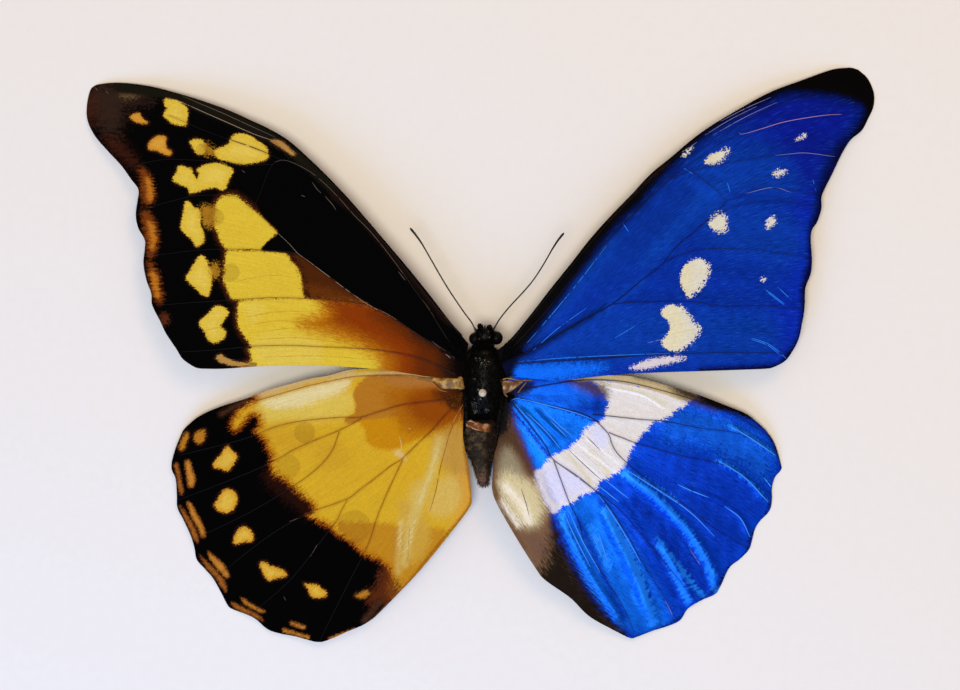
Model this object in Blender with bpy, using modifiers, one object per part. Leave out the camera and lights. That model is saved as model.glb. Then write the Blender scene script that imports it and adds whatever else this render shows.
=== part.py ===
"""A spread butterfly on a short insect pin: female wings on the left, male wings on the right.

Metres, +Z up. The origin is the cut foot of the pin, on the surface that the specimen rests on.
+Y points to the head and +X to the male wings. Outlines are written in millimetres from the pin.
"""
import math

import bmesh
import bpy
from mathutils import Matrix, Vector

MM = 0.001

# Pin
PIN_RADIUS = 0.25
PIN_HEAD_RADIUS = 0.635
PIN_LENGTH = 14.4
PIN_HOLE_RADIUS = 0.55

# Body: heights above the surface, and profiles as (distance forward of the pin, radius)
CLEARANCE = 0.3
BODY_HEIGHT = 5.0
THORAX_X = 0.25
THORAX_PROFILE = [(7.65, 0.0), (7.5, 0.8), (7.1, 1.5), (6.3, 2.15), (5.0, 2.7), (3.2, 3.0), (0.8, 3.0),
                  (-1.2, 2.85), (-2.6, 2.5), (-3.4, 2.0), (-3.75, 1.2), (-3.85, 0.0)]
THORAX_TALLNESS = 1.03
ABDOMEN_X = -0.15
ABDOMEN_HEIGHT = 4.5
ABDOMEN_TALLNESS = 0.85
ABDOMEN_FRONT = -4.3
ABDOMEN_REAR = -15.8
ABDOMEN_RINGS = 8
ABDOMEN_GROOVE = 0.12
ABDOMEN_RADII = [(-4.3, 1.9), (-5.5, 2.6), (-8.0, 2.3), (-9.7, 1.9), (-11.3, 1.5), (-13.0, 1.15), (-14.7, 0.95),
                 (-15.8, 0.45)]
HEAD_CENTRE = (0.42, 9.33, BODY_HEIGHT)
HEAD_HALF = (1.55, 1.35, 1.5)
EYE_SPREAD = 1.83
EYE_Y = 9.1
EYE_RADIUS = 1.05

# Feelers and mouth parts
ANTENNA_RADIUS = 0.13
ANTENNA_CLUB = 1.9
ANTENNA_LEFT = [(-1.1, 10.2, 5.9), (-1.9, 11.7, 6.1), (-3.1, 13.3, 6.3), (-5.4, 16.7, 6.6), (-7.1, 19.5, 6.8),
                (-8.7, 22.3, 6.9), (-10.1, 24.7, 6.9), (-11.3, 26.0, 6.9), (-12.0, 27.2, 6.8)]
ANTENNA_RIGHT = [(1.8, 10.4, 5.9), (2.9, 12.2, 6.1), (4.6, 14.3, 6.3), (7.1, 17.0, 6.6), (8.7, 19.0, 6.8),
                 (10.4, 21.7, 6.9), (11.6, 23.8, 6.9), (12.6, 25.3, 6.9), (13.5, 26.4, 6.8)]
PALP_RADIUS = 0.3
PALP_LEFT = [(-0.23, 10.2, 3.3), (-0.3, 11.05, 4.2), (-0.5, 11.4, 5.3)]
PALP_RIGHT = [(1.07, 10.2, 3.3), (1.15, 11.05, 4.2), (1.4, 11.3, 5.3)]
PROBOSCIS_CENTRE = (0.42, 10.2, 2.1)
PROBOSCIS_RADIUS = 0.09
PROBOSCIS_COIL = (0.95, 0.3)
PROBOSCIS_TURNS = 2.5

# Legs of the right side, from the body to the claw; the left side mirrors them
LEG_RADIUS = 0.2
LEG_PATHS = {
    "fore": [(0.8, 5.4, 1.4), (1.3, 6.6, 1.8), (1.4, 7.7, 2.3), (1.7, 7.4, 1.7), (1.9, 6.2, 1.2)],
    "middle": [(0.9, 2.6, 1.3), (2.3, 4.2, 1.1), (3.2, 2.4, 0.95), (3.3, -0.6, 0.7), (3.1, -3.2, 0.4),
               (3.0, -4.6, 0.25)],
    "hind": [(0.9, -0.6, 1.3), (2.2, 0.9, 0.95), (2.0, -2.2, 0.7), (1.6, -5.5, 0.45), (1.3, -8.0, 0.25)],
}

# Wings: each edge runs away from the body or, for the margin, from the front corner to the rear one
WING_THICKNESS = 0.3
WING_DROOP_POWER = 1.8
FOREWING_HEIGHT = 6.2
HINDWING_HEIGHT = 5.4
WINGS = {
    "forewing_left": {
        "hinge": (-2.8, 5.2, FOREWING_HEIGHT),
        "cells": (16, 17),
        "front": [(-2.3, 8.0), (-5.4, 11.8), (-8.8, 16.2), (-12.1, 20.3), (-15.4, 24.2), (-18.8, 28.2),
                  (-22.1, 32.0), (-25.4, 35.5), (-28.8, 38.8), (-32.1, 41.7), (-35.4, 43.7), (-38.8, 45.3),
                  (-42.1, 46.8), (-47.1, 48.6), (-52.1, 50.1), (-55.4, 50.9), (-58.8, 51.4), (-61.8, 51.5),
                  (-64.2, 51.2), (-64.9, 50.8)],
        "margin": [(-64.9, 50.8), (-65.4, 50.2), (-65.9, 47.8), (-65.8, 45.3), (-64.8, 43.0), (-63.1, 40.8),
                   (-60.4, 37.8), (-58.8, 35.5), (-57.4, 33.7), (-57.5, 32.0), (-57.8, 29.5), (-57.4, 27.3),
                   (-56.3, 25.3), (-56.3, 23.7), (-56.6, 21.3), (-56.1, 18.3), (-55.3, 16.3), (-55.1, 14.3),
                   (-53.8, 11.5), (-52.8, 9.5), (-50.9, 7.0), (-49.8, 5.4), (-47.8, 4.2), (-46.6, 3.9)],
        "rear": [(-3.3, 2.4), (-4.6, 2.3), (-8.8, 2.6), (-12.1, 3.1), (-17.1, 3.8), (-23.8, 4.3), (-30.4, 4.5),
                 (-37.1, 4.3), (-42.9, 3.9), (-46.6, 3.9)],
    },
    "forewing_right": {
        "hinge": (3.2, 5.0, FOREWING_HEIGHT),
        "cells": (16, 17),
        "front": [(2.4, 6.9), (4.6, 8.8), (7.9, 12.8), (11.3, 17.2), (14.6, 21.3), (17.9, 25.5), (21.3, 29.3),
                  (24.6, 32.7), (27.9, 36.2), (31.3, 39.0), (34.6, 41.8), (37.9, 44.2), (42.9, 47.2),
                  (47.9, 49.9), (52.9, 51.8), (57.9, 53.6), (60.4, 54.0), (61.6, 54.0), (62.6, 53.7)],
        "margin": [(62.6, 53.7), (64.2, 52.2), (65.2, 49.8), (65.1, 47.5), (64.2, 45.5), (63.1, 43.5),
                   (61.3, 42.0), (59.8, 39.7), (58.1, 36.2), (56.6, 32.7), (56.5, 30.5), (55.8, 28.3),
                   (54.9, 26.9), (54.7, 25.2), (54.9, 22.0), (54.6, 19.7), (53.7, 17.3), (53.7, 14.8),
                   (53.6, 12.5), (52.9, 9.8), (51.8, 7.0), (50.6, 5.5), (49.6, 4.8), (48.4, 4.2)],
        "rear": [(3.9, 2.8), (6.2, 2.5), (9.1, 2.2), (12.9, 2.0), (17.9, 2.5), (22.9, 3.0), (29.6, 3.3),
                 (36.2, 3.5), (42.1, 3.7), (47.1, 3.9), (48.4, 4.2)],
    },
    "hindwing_left": {
        "hinge": (-3.1, 0.0, HINDWING_HEIGHT),
        "cells": (11, 26),
        "front": [(-3.2, 2.0), (-6.0, 3.5), (-10.4, 4.4), (-15.0, 4.5), (-18.8, 3.9), (-22.1, 3.7),
                  (-25.4, 2.8), (-28.8, 2.2), (-32.1, 1.3), (-35.4, 0.4), (-39.1, -1.0), (-43.8, -2.5),
                  (-47.1, -4.0), (-49.2, -5.7), (-49.9, -6.5)],
        "margin": [(-49.9, -6.5), (-51.2, -9.7), (-51.8, -12.5), (-51.1, -14.5), (-50.9, -17.2),
                   (-50.8, -19.3), (-49.6, -21.2), (-48.4, -23.8), (-47.8, -25.8), (-47.4, -27.8),
                   (-46.1, -29.3), (-44.8, -31.0), (-43.6, -33.3), (-42.6, -35.3), (-41.8, -36.1),
                   (-39.4, -37.0), (-37.8, -37.8), (-35.8, -39.5), (-33.8, -40.2), (-31.1, -40.7),
                   (-27.4, -41.7), (-25.1, -41.2), (-22.4, -40.0), (-20.2, -39.2), (-18.6, -38.0),
                   (-17.1, -36.3), (-15.6, -34.7)],
        "rear": [(-3.1, -2.2), (-3.2, -4.7), (-3.2, -7.7), (-2.4, -11.8), (-2.1, -14.3), (-1.8, -17.5),
                 (-2.1, -19.0), (-4.4, -22.2), (-7.8, -26.5), (-11.2, -30.5), (-14.8, -34.2), (-15.6, -34.7)],
    },
    "hindwing_right": {
        "hinge": (3.6, 0.0, HINDWING_HEIGHT),
        "cells": (11, 26),
        "front": [(3.6, 1.7), (6.0, 3.0), (10.0, 3.9), (14.6, 3.8), (18.8, 3.0), (21.3, 2.8), (24.1, 2.7),
                  (27.1, 2.1), (30.4, 1.2), (33.8, 0.2), (37.1, -0.9), (40.4, -2.2), (43.8, -3.6),
                  (45.9, -5.2), (47.1, -6.3)],
        "margin": [(47.1, -6.3), (48.6, -8.5), (49.7, -12.0), (49.7, -13.0), (48.7, -14.2), (48.2, -16.0),
                   (48.2, -18.0), (47.8, -19.8), (46.2, -21.5), (45.4, -22.8), (44.9, -24.7), (44.4, -26.2),
                   (42.9, -27.8), (41.1, -29.3), (39.6, -32.4), (38.7, -33.7), (36.4, -34.7), (34.2, -36.1),
                   (32.9, -38.0), (30.8, -39.0), (28.5, -39.7), (26.4, -40.5), (24.9, -41.0), (24.1, -40.7)],
        "rear": [(3.7, -1.3), (3.0, -4.7), (2.6, -8.0), (1.9, -10.7), (1.6, -14.7), (1.6, -16.0),
                 (2.3, -18.3), (5.4, -23.8), (8.8, -29.2), (10.4, -31.2), (14.6, -34.2), (17.9, -37.4),
                 (22.8, -40.1), (24.1, -40.7)],
    },
}

# Colours, as sRGB hex, with roughness and metallic value
FINISHES = {
    "female_wing": ("#d4a534", 0.7, 0.0),
    "male_wing": ("#0a45c4", 0.35, 0.3),
    "body": ("#2a2620", 0.8, 0.0),
    "eye": ("#1a1210", 0.2, 0.0),
    "antenna": ("#17120e", 0.5, 0.0),
    "leg": ("#241a12", 0.6, 0.0),
    "pin": ("#b9b9bd", 0.3, 1.0),
    "pin_head": ("#d8d2c4", 0.25, 0.0),
}


def clear_scene():
    for item in list(bpy.data.objects):
        bpy.data.objects.remove(item, do_unlink=True)


def new_collection(name):
    group = bpy.data.collections.new(name)
    bpy.context.scene.collection.children.link(group)
    return group


def linear(hex_colour):
    """sRGB hex to the linear colour that a shader takes."""
    values = [int(hex_colour[i:i + 2], 16) / 255 for i in (1, 3, 5)]
    curve = [c / 12.92 if c <= 0.04045 else ((c + 0.055) / 1.055) ** 2.4 for c in values]
    return (*curve, 1.0)


def finish_object(item, finish):
    """Give the object a material of its own."""
    colour, roughness, metallic = FINISHES[finish]
    material = bpy.data.materials.new(f"{item.name}_{finish}")
    material.use_nodes = True
    shader = material.node_tree.nodes["Principled BSDF"]
    shader.inputs["Base Color"].default_value = linear(colour)
    shader.inputs["Roughness"].default_value = roughness
    shader.inputs["Metallic"].default_value = metallic
    item.data.materials.append(material)


def mesh_object(name, fill, group, finish=None):
    """Make an object from what fill(bm) builds in a bmesh, in metres."""
    bm = bmesh.new()
    fill(bm)
    mesh = bpy.data.meshes.new(name)
    bm.to_mesh(mesh)
    bm.free()
    item = bpy.data.objects.new(name, mesh)
    group.objects.link(item)
    if finish:
        finish_object(item, finish)
    return item


def smooth_path(points, count):
    """count points spaced evenly along a smooth curve through the given points."""
    given = [Vector(p) for p in points]
    ends = [2 * given[0] - given[1], *given, 2 * given[-1] - given[-2]]
    dense = [given[0]]
    steps = 16
    for before, start, stop, after in zip(ends, ends[1:], ends[2:], ends[3:]):
        for step in range(1, steps + 1):
            t = step / steps
            dense.append(0.5 * (2 * start + (stop - before) * t
                                + (2 * before - 5 * start + 4 * stop - after) * t ** 2
                                + (3 * start - before - 3 * stop + after) * t ** 3))
    return evenly_spaced(dense, count)


def evenly_spaced(path, count):
    lengths = [(b - a).length for a, b in zip(path, path[1:])]
    gap = sum(lengths) / (count - 1)
    result = [path[0]]
    travelled = 0.0
    for start, stop, length in zip(path, path[1:], lengths):
        while len(result) < count - 1 and travelled + length >= gap * len(result):
            result.append(start.lerp(stop, (gap * len(result) - travelled) / length))
        travelled += length
    result.append(path[-1])
    return result


# Wings

def wing_grid(wing):
    """Rows of flat points between the four edges of a wing, blended from them (a Coons patch)."""
    columns, rows = wing["cells"]
    front = smooth_path(wing["front"], columns + 1)
    rear = smooth_path(wing["rear"], columns + 1)
    margin = smooth_path(wing["margin"], rows + 1)
    root = [front[0].lerp(rear[0], j / rows) for j in range(rows + 1)]
    grid = []
    for i in range(columns + 1):
        u = i / columns
        line = []
        for j in range(rows + 1):
            v = j / rows
            across = front[i].lerp(rear[i], v)
            along = root[j].lerp(margin[j], u)
            corners = root[0].lerp(margin[0], u).lerp(root[-1].lerp(margin[-1], u), v)
            line.append(across + along - corners)
        grid.append(line)
    return grid


def wing_heights(grid, hinge):
    """Lift the flat points: level at the body, and down to the surface at the farthest point."""
    centre = Vector(hinge[:2])
    reach = max((point - centre).length for line in grid for point in line)
    lifted = []
    for line in grid:
        heights = [1 - ((point - centre).length / reach) ** WING_DROOP_POWER for point in line]
        lifted.append([Vector((p.x, p.y, hinge[2] * h + WING_THICKNESS / 2)) for p, h in zip(line, heights)])
    return lifted


def add_wing(name, wing, group):
    columns, rows = wing["cells"]
    grid = wing_heights(wing_grid(wing), wing["hinge"])

    def fill(bm):
        bmesh.ops.create_grid(bm, x_segments=columns, y_segments=rows, size=0.5)
        for vert in bm.verts:
            i = round((vert.co.x + 0.5) * columns)
            j = round((vert.co.y + 0.5) * rows)
            vert.co = grid[i][j] * MM

    finish = "female_wing" if name.endswith("left") else "male_wing"
    item = mesh_object(name, fill, group, finish)
    solidify = item.modifiers.new("Membrane", "SOLIDIFY")
    solidify.thickness = WING_THICKNESS * MM
    solidify.offset = 0.0
    item.data.shade_smooth()
    return item


# Body

def turned_body(name, profile, place, tallness, steps, group):
    """Turn a profile of (distance forward, radius) about the body's long axis."""
    def fill(bm):
        verts = [bm.verts.new((radius * MM, 0.0, forward * MM)) for forward, radius in profile]
        for a, b in zip(verts, verts[1:]):
            bm.edges.new((a, b))

    item = mesh_object(name, fill, group, "body")
    turn = item.modifiers.new("Turn", "SCREW")
    turn.axis = "Z"
    turn.steps = steps
    turn.render_steps = steps
    turn.use_merge_vertices = True
    turn.merge_threshold = 0.00001
    turn.use_smooth_shade = True
    item.scale = (1.0, tallness, 1.0)
    item.rotation_euler = (math.radians(-90), 0.0, 0.0)
    item.location = Vector(place) * MM
    return item


def ball(name, centre, half, segments, rings, group, finish=None):
    def fill(bm):
        bmesh.ops.create_uvsphere(bm, u_segments=segments, v_segments=rings, radius=1.0)
        bmesh.ops.transform(bm, matrix=Matrix.Diagonal((*half, 1.0)) * MM, verts=bm.verts)

    item = mesh_object(name, fill, group, finish)
    item.location = Vector(centre) * MM
    item.data.shade_smooth()
    return item


def cylinder(name, radius, bottom, top, segments, group, finish=None):
    def fill(bm):
        bmesh.ops.create_cone(bm, cap_ends=True, segments=segments, radius1=radius * MM, radius2=radius * MM,
                              depth=(top - bottom) * MM)

    item = mesh_object(name, fill, group, finish)
    item.location = (0.0, 0.0, (top + bottom) / 2 * MM)
    item.data.shade_smooth()
    item.data.set_sharp_from_angle(angle=math.radians(40))
    return item


def cut(item, cutter):
    """Take the cutter's shape out of the item."""
    cutter.hide_render = True
    cutter.display_type = "WIRE"
    boolean = item.modifiers.new(cutter.name, "BOOLEAN")
    boolean.operation = "DIFFERENCE"
    boolean.solver = "EXACT"
    boolean.object = cutter


def abdomen_profile():
    """Eight soft rings with a shallow groove between each two."""
    length = ABDOMEN_FRONT - ABDOMEN_REAR
    steps_per_ring = 2
    count = ABDOMEN_RINGS * steps_per_ring
    profile = [(ABDOMEN_FRONT, 0.0)]
    for step in range(count + 1):
        forward = ABDOMEN_FRONT - length * step / count
        groove = ABDOMEN_GROOVE if step % steps_per_ring == 0 and 0 < step < count else 0.0
        profile.append((forward, radius_at(ABDOMEN_RADII, forward) - groove))
    profile.append((ABDOMEN_REAR, 0.0))
    return profile


def radius_at(table, forward):
    """Radius between the two nearest sections, front to rear."""
    for (front, front_radius), (rear, rear_radius) in zip(table, table[1:]):
        if front >= forward >= rear:
            return front_radius + (rear_radius - front_radius) * (front - forward) / (front - rear)
    return table[-1][1]


def add_thorax(group, cutters):
    thorax = turned_body("thorax", THORAX_PROFILE, (THORAX_X, 0.0, BODY_HEIGHT), THORAX_TALLNESS, 24, group)
    cut(thorax, cylinder("pin_hole", PIN_HOLE_RADIUS, 0.0, PIN_LENGTH, 16, cutters))


def add_abdomen(group):
    turned_body("abdomen", abdomen_profile(), (ABDOMEN_X, 0.0, ABDOMEN_HEIGHT), ABDOMEN_TALLNESS, 20, group)


def add_head(group, cutters):
    """The head, with a socket for each eye."""
    head = ball("head", HEAD_CENTRE, HEAD_HALF, 18, 12, group, "body")
    for side, name in ((-1, "left"), (1, "right")):
        centre = (HEAD_CENTRE[0] + side * EYE_SPREAD, EYE_Y, BODY_HEIGHT + 0.1)
        ball(f"eye_{name}", centre, [EYE_RADIUS] * 3, 14, 9, group, "eye")
        cut(head, ball(f"eye_socket_{name}", centre, [EYE_RADIUS + CLEARANCE] * 3, 14, 9, cutters))


# Thin round pieces

def tube(name, points, radii, sides, group, finish):
    """A tube along the points, in millimetres, with a radius at each."""
    curve = bpy.data.curves.new(name, "CURVE")
    curve.dimensions = "3D"
    curve.bevel_depth = MM
    curve.bevel_resolution = sides // 2 - 2
    curve.use_fill_caps = True
    spline = curve.splines.new("POLY")
    spline.points.add(len(points) - 1)
    for point, place, radius in zip(spline.points, points, radii):
        point.co = (*(Vector(place) * MM), 1.0)
        point.radius = radius
    item = bpy.data.objects.new(name, curve)
    group.objects.link(item)
    finish_object(item, finish)
    return item


def add_antenna(name, route, group):
    """A thin stalk that thickens to a slim club over its last fifth."""
    points = smooth_path(route, 18)
    last = len(points) - 1
    radii = [ANTENNA_RADIUS * (1 + (ANTENNA_CLUB - 1) * max(0.0, (i / last - 0.8) / 0.2)) for i in range(last)]
    tube(name, points, [*radii, ANTENNA_RADIUS], 6, group, "antenna")


def add_palp(name, route, group):
    points = smooth_path(route, 6)
    radii = [PALP_RADIUS * scale for scale in (0.6, 0.9, 1.0, 0.9, 0.7, 0.35)]
    tube(name, points, radii, 8, group, "body")


def add_proboscis(group):
    """A flat spiral under the head, from its outer turn inwards."""
    outer, inner = PROBOSCIS_COIL
    count = 36
    points = []
    for step in range(count + 1):
        t = step / count
        angle = math.radians(110) - t * PROBOSCIS_TURNS * math.tau
        radius = outer + (inner - outer) * t
        points.append(Vector(PROBOSCIS_CENTRE) + Vector((0.0, radius * math.cos(angle), radius * math.sin(angle))))
    tube("proboscis", points, [PROBOSCIS_RADIUS] * len(points), 6, group, "leg")


def add_legs(group):
    """Three folded legs a side, tapering from the thigh to the foot."""
    for pair, route in LEG_PATHS.items():
        for side, name in ((-1, "left"), (1, "right")):
            points = [Vector((side * p.x, p.y, p.z)) for p in smooth_path(route, 10)]
            radii = [LEG_RADIUS * (1.0 - 0.045 * i) for i in range(len(points))]
            tube(f"leg_{pair}_{name}", points, radii, 6, group, "leg")


def add_pin(group):
    """A steel shank, cut flat at the surface, under a round nylon head."""
    cylinder("pin_shank", PIN_RADIUS, 0.0, PIN_LENGTH, 16, group, "pin")
    top = (0.0, 0.0, PIN_LENGTH + CLEARANCE + PIN_HEAD_RADIUS)
    ball("pin_head", top, [PIN_HEAD_RADIUS] * 3, 14, 9, group, "pin_head")


def build():
    clear_scene()
    group = new_collection("pinned_butterfly")
    cutters = new_collection("cutters")
    add_thorax(group, cutters)
    add_head(group, cutters)
    add_abdomen(group)
    add_antenna("antenna_left", ANTENNA_LEFT, group)
    add_antenna("antenna_right", ANTENNA_RIGHT, group)
    add_palp("palp_left", PALP_LEFT, group)
    add_palp("palp_right", PALP_RIGHT, group)
    add_proboscis(group)
    add_legs(group)
    for name, wing in WINGS.items():
        add_wing(name, wing, group)
    add_pin(group)


build()
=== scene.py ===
"""The looks of a pinned butterfly, female on the left and male on the right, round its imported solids."""
import math
from dataclasses import dataclass

import bpy
import numpy as np
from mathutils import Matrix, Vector
from mathutils.bvhtree import BVHTree


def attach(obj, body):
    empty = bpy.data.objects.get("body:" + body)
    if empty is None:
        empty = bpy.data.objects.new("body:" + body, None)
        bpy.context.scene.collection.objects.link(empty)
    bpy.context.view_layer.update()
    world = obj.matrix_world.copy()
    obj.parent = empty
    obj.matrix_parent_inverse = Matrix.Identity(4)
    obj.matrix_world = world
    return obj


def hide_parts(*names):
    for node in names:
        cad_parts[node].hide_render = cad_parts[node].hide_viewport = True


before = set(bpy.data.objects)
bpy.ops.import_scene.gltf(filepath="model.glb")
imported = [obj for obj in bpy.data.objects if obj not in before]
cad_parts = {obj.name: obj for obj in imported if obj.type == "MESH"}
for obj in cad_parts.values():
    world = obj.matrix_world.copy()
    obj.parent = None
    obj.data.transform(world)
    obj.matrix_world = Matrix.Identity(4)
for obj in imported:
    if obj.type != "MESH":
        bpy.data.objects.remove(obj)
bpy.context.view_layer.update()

MM = 0.001

# Marks are traced in the photograph's 960 x 690 frame, where the pin stands at PIN_IN_PHOTO
PIN_IN_PHOTO = (482.5, 392.0)
PHOTO_MIDDLE = (480.0, 345.0)
PHOTO_PIXELS_PER_MM = 6.0

# Wings, in millimetres from the pin: the same edges and droop as the solids
MEMBRANE = 0.1
SOLID_MEMBRANE = 0.3
DROOP_POWER = 1.8
FOREWING_HEIGHT = 6.2
HINDWING_HEIGHT = 5.4
WINGS = {
    "forewing_left": {
        "hinge": (-2.8, 5.2, FOREWING_HEIGHT),
        "cells": (272, 176),
        "front": [(-2.3, 8.0), (-5.4, 11.8), (-8.8, 16.2), (-12.1, 20.3), (-15.4, 24.2), (-18.8, 28.2),
                  (-22.1, 32.0), (-25.4, 35.5), (-28.8, 38.8), (-32.1, 41.7), (-35.4, 43.7), (-38.8, 45.3),
                  (-42.1, 46.8), (-47.1, 48.6), (-52.1, 50.1), (-55.4, 50.9), (-58.8, 51.4), (-61.8, 51.5),
                  (-64.2, 51.2), (-64.9, 50.8)],
        "margin": [(-64.9, 50.8), (-65.4, 50.2), (-65.9, 47.8), (-65.8, 45.3), (-64.7, 42.9), (-62.9, 40.7),
                   (-60.1, 37.7), (-58.5, 35.5), (-57.2, 33.7), (-57.3, 32.0), (-57.6, 29.5), (-57.2, 27.3),
                   (-56.1, 25.3), (-56.1, 23.7), (-56.3, 21.3), (-55.8, 18.6), (-55.0, 16.4), (-54.8, 14.4),
                   (-53.4, 11.6), (-52.5, 9.7), (-50.8, 7.2), (-49.7, 5.5), (-47.8, 4.2), (-46.6, 3.9)],
        "rear": [(-3.3, 2.4), (-4.6, 2.3), (-8.8, 2.6), (-12.1, 3.1), (-17.1, 3.8), (-23.8, 4.3),
                 (-30.4, 4.5), (-37.1, 4.3), (-42.9, 3.9), (-46.6, 3.9)],
    },
    "forewing_right": {
        "hinge": (3.2, 5.0, FOREWING_HEIGHT),
        "cells": (272, 176),
        "front": [(2.4, 6.9), (4.6, 8.8), (7.9, 12.8), (11.3, 17.2), (14.6, 21.3), (17.9, 25.5), (21.3, 29.3),
                  (24.6, 32.7), (27.9, 36.2), (31.3, 39.0), (34.6, 41.8), (37.9, 44.2), (42.9, 47.2),
                  (47.9, 49.9), (52.9, 51.8), (57.9, 53.6), (60.4, 54.0), (61.6, 54.0), (62.6, 53.7)],
        "margin": [(62.6, 53.7), (64.2, 52.2), (65.2, 49.8), (65.1, 47.5), (64.2, 45.5), (63.1, 43.5),
                   (61.3, 42.0), (59.8, 39.7), (58.1, 36.2), (56.4, 32.7), (56.3, 30.5), (55.6, 28.3),
                   (54.7, 26.9), (54.5, 25.2), (54.7, 22.0), (54.5, 19.7), (53.6, 17.3), (53.5, 14.8),
                   (53.3, 12.8), (53.0, 11.3), (52.7, 9.7), (52.2, 8.2), (51.4, 6.8), (50.5, 5.5),
                   (49.6, 4.8), (48.4, 4.2)],
        "rear": [(3.9, 2.8), (6.2, 2.5), (9.1, 2.2), (12.9, 2.0), (17.9, 2.5), (22.9, 3.0), (29.6, 3.3),
                 (36.2, 3.5), (42.1, 3.7), (47.1, 3.9), (48.4, 4.2)],
    },
    "hindwing_left": {
        "hinge": (-3.1, 0.0, HINDWING_HEIGHT),
        "cells": (200, 236),
        "front": [(-3.2, 2.0), (-6.0, 3.5), (-10.4, 4.4), (-15.0, 4.5), (-18.8, 3.9), (-22.1, 3.7),
                  (-25.4, 2.8), (-28.8, 2.2), (-32.1, 1.3), (-35.4, 0.4), (-39.1, -1.0), (-43.8, -2.5),
                  (-47.1, -4.0), (-49.2, -5.7), (-49.9, -6.5)],
        "margin": [(-49.9, -6.5), (-51.2, -9.7), (-51.8, -12.5), (-51.1, -14.5), (-50.9, -17.2),
                   (-50.8, -19.3), (-49.8, -21.3), (-48.6, -23.9), (-48.0, -25.9), (-47.6, -27.9),
                   (-46.3, -29.4), (-44.9, -31.0), (-43.6, -33.3), (-42.6, -35.3), (-41.8, -36.1),
                   (-39.4, -37.0), (-37.8, -37.8), (-35.8, -39.5), (-33.8, -40.2), (-31.1, -40.7),
                   (-27.4, -41.6), (-25.1, -41.0), (-22.4, -39.8), (-20.3, -38.9), (-18.6, -37.8),
                   (-17.1, -36.3), (-15.6, -34.7)],
        "rear": [(-3.1, -2.2), (-3.2, -4.7), (-3.2, -7.7), (-2.4, -11.8), (-2.1, -14.3), (-1.8, -17.5),
                 (-2.1, -19.0), (-4.4, -22.2), (-7.8, -26.5), (-11.2, -30.5), (-14.8, -34.2), (-15.6, -34.7)],
    },
    "hindwing_right": {
        "hinge": (3.6, 0.0, HINDWING_HEIGHT),
        "cells": (200, 236),
        "front": [(3.6, 1.7), (6.0, 3.0), (10.0, 3.9), (14.6, 3.8), (18.8, 3.0), (21.3, 2.8), (24.1, 2.7),
                  (27.1, 2.1), (30.4, 1.2), (33.8, 0.2), (37.1, -0.9), (40.4, -2.2), (43.8, -3.6),
                  (45.9, -5.2), (47.1, -6.3)],
        "margin": [(47.1, -6.3), (48.6, -8.5), (49.7, -12.0), (49.7, -13.0), (48.7, -14.2), (48.2, -16.0),
                   (48.2, -18.0), (47.8, -19.8), (46.2, -21.5), (45.4, -22.8), (44.9, -24.7), (44.4, -26.2),
                   (42.9, -27.8), (41.1, -29.3), (39.6, -32.4), (38.7, -33.7), (36.4, -34.7), (34.2, -36.1),
                   (32.9, -38.0), (30.8, -39.0), (28.5, -39.7), (26.4, -40.5), (24.9, -41.0), (24.1, -40.7)],
        "rear": [(3.7, -1.3), (3.0, -4.7), (2.6, -8.0), (1.9, -10.7), (1.6, -14.7), (1.6, -16.0),
                 (2.3, -18.3), (5.4, -23.8), (8.8, -29.2), (10.4, -31.2), (14.6, -34.2), (17.9, -37.4),
                 (22.8, -40.1), (24.1, -40.7)],
    },
}

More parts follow.
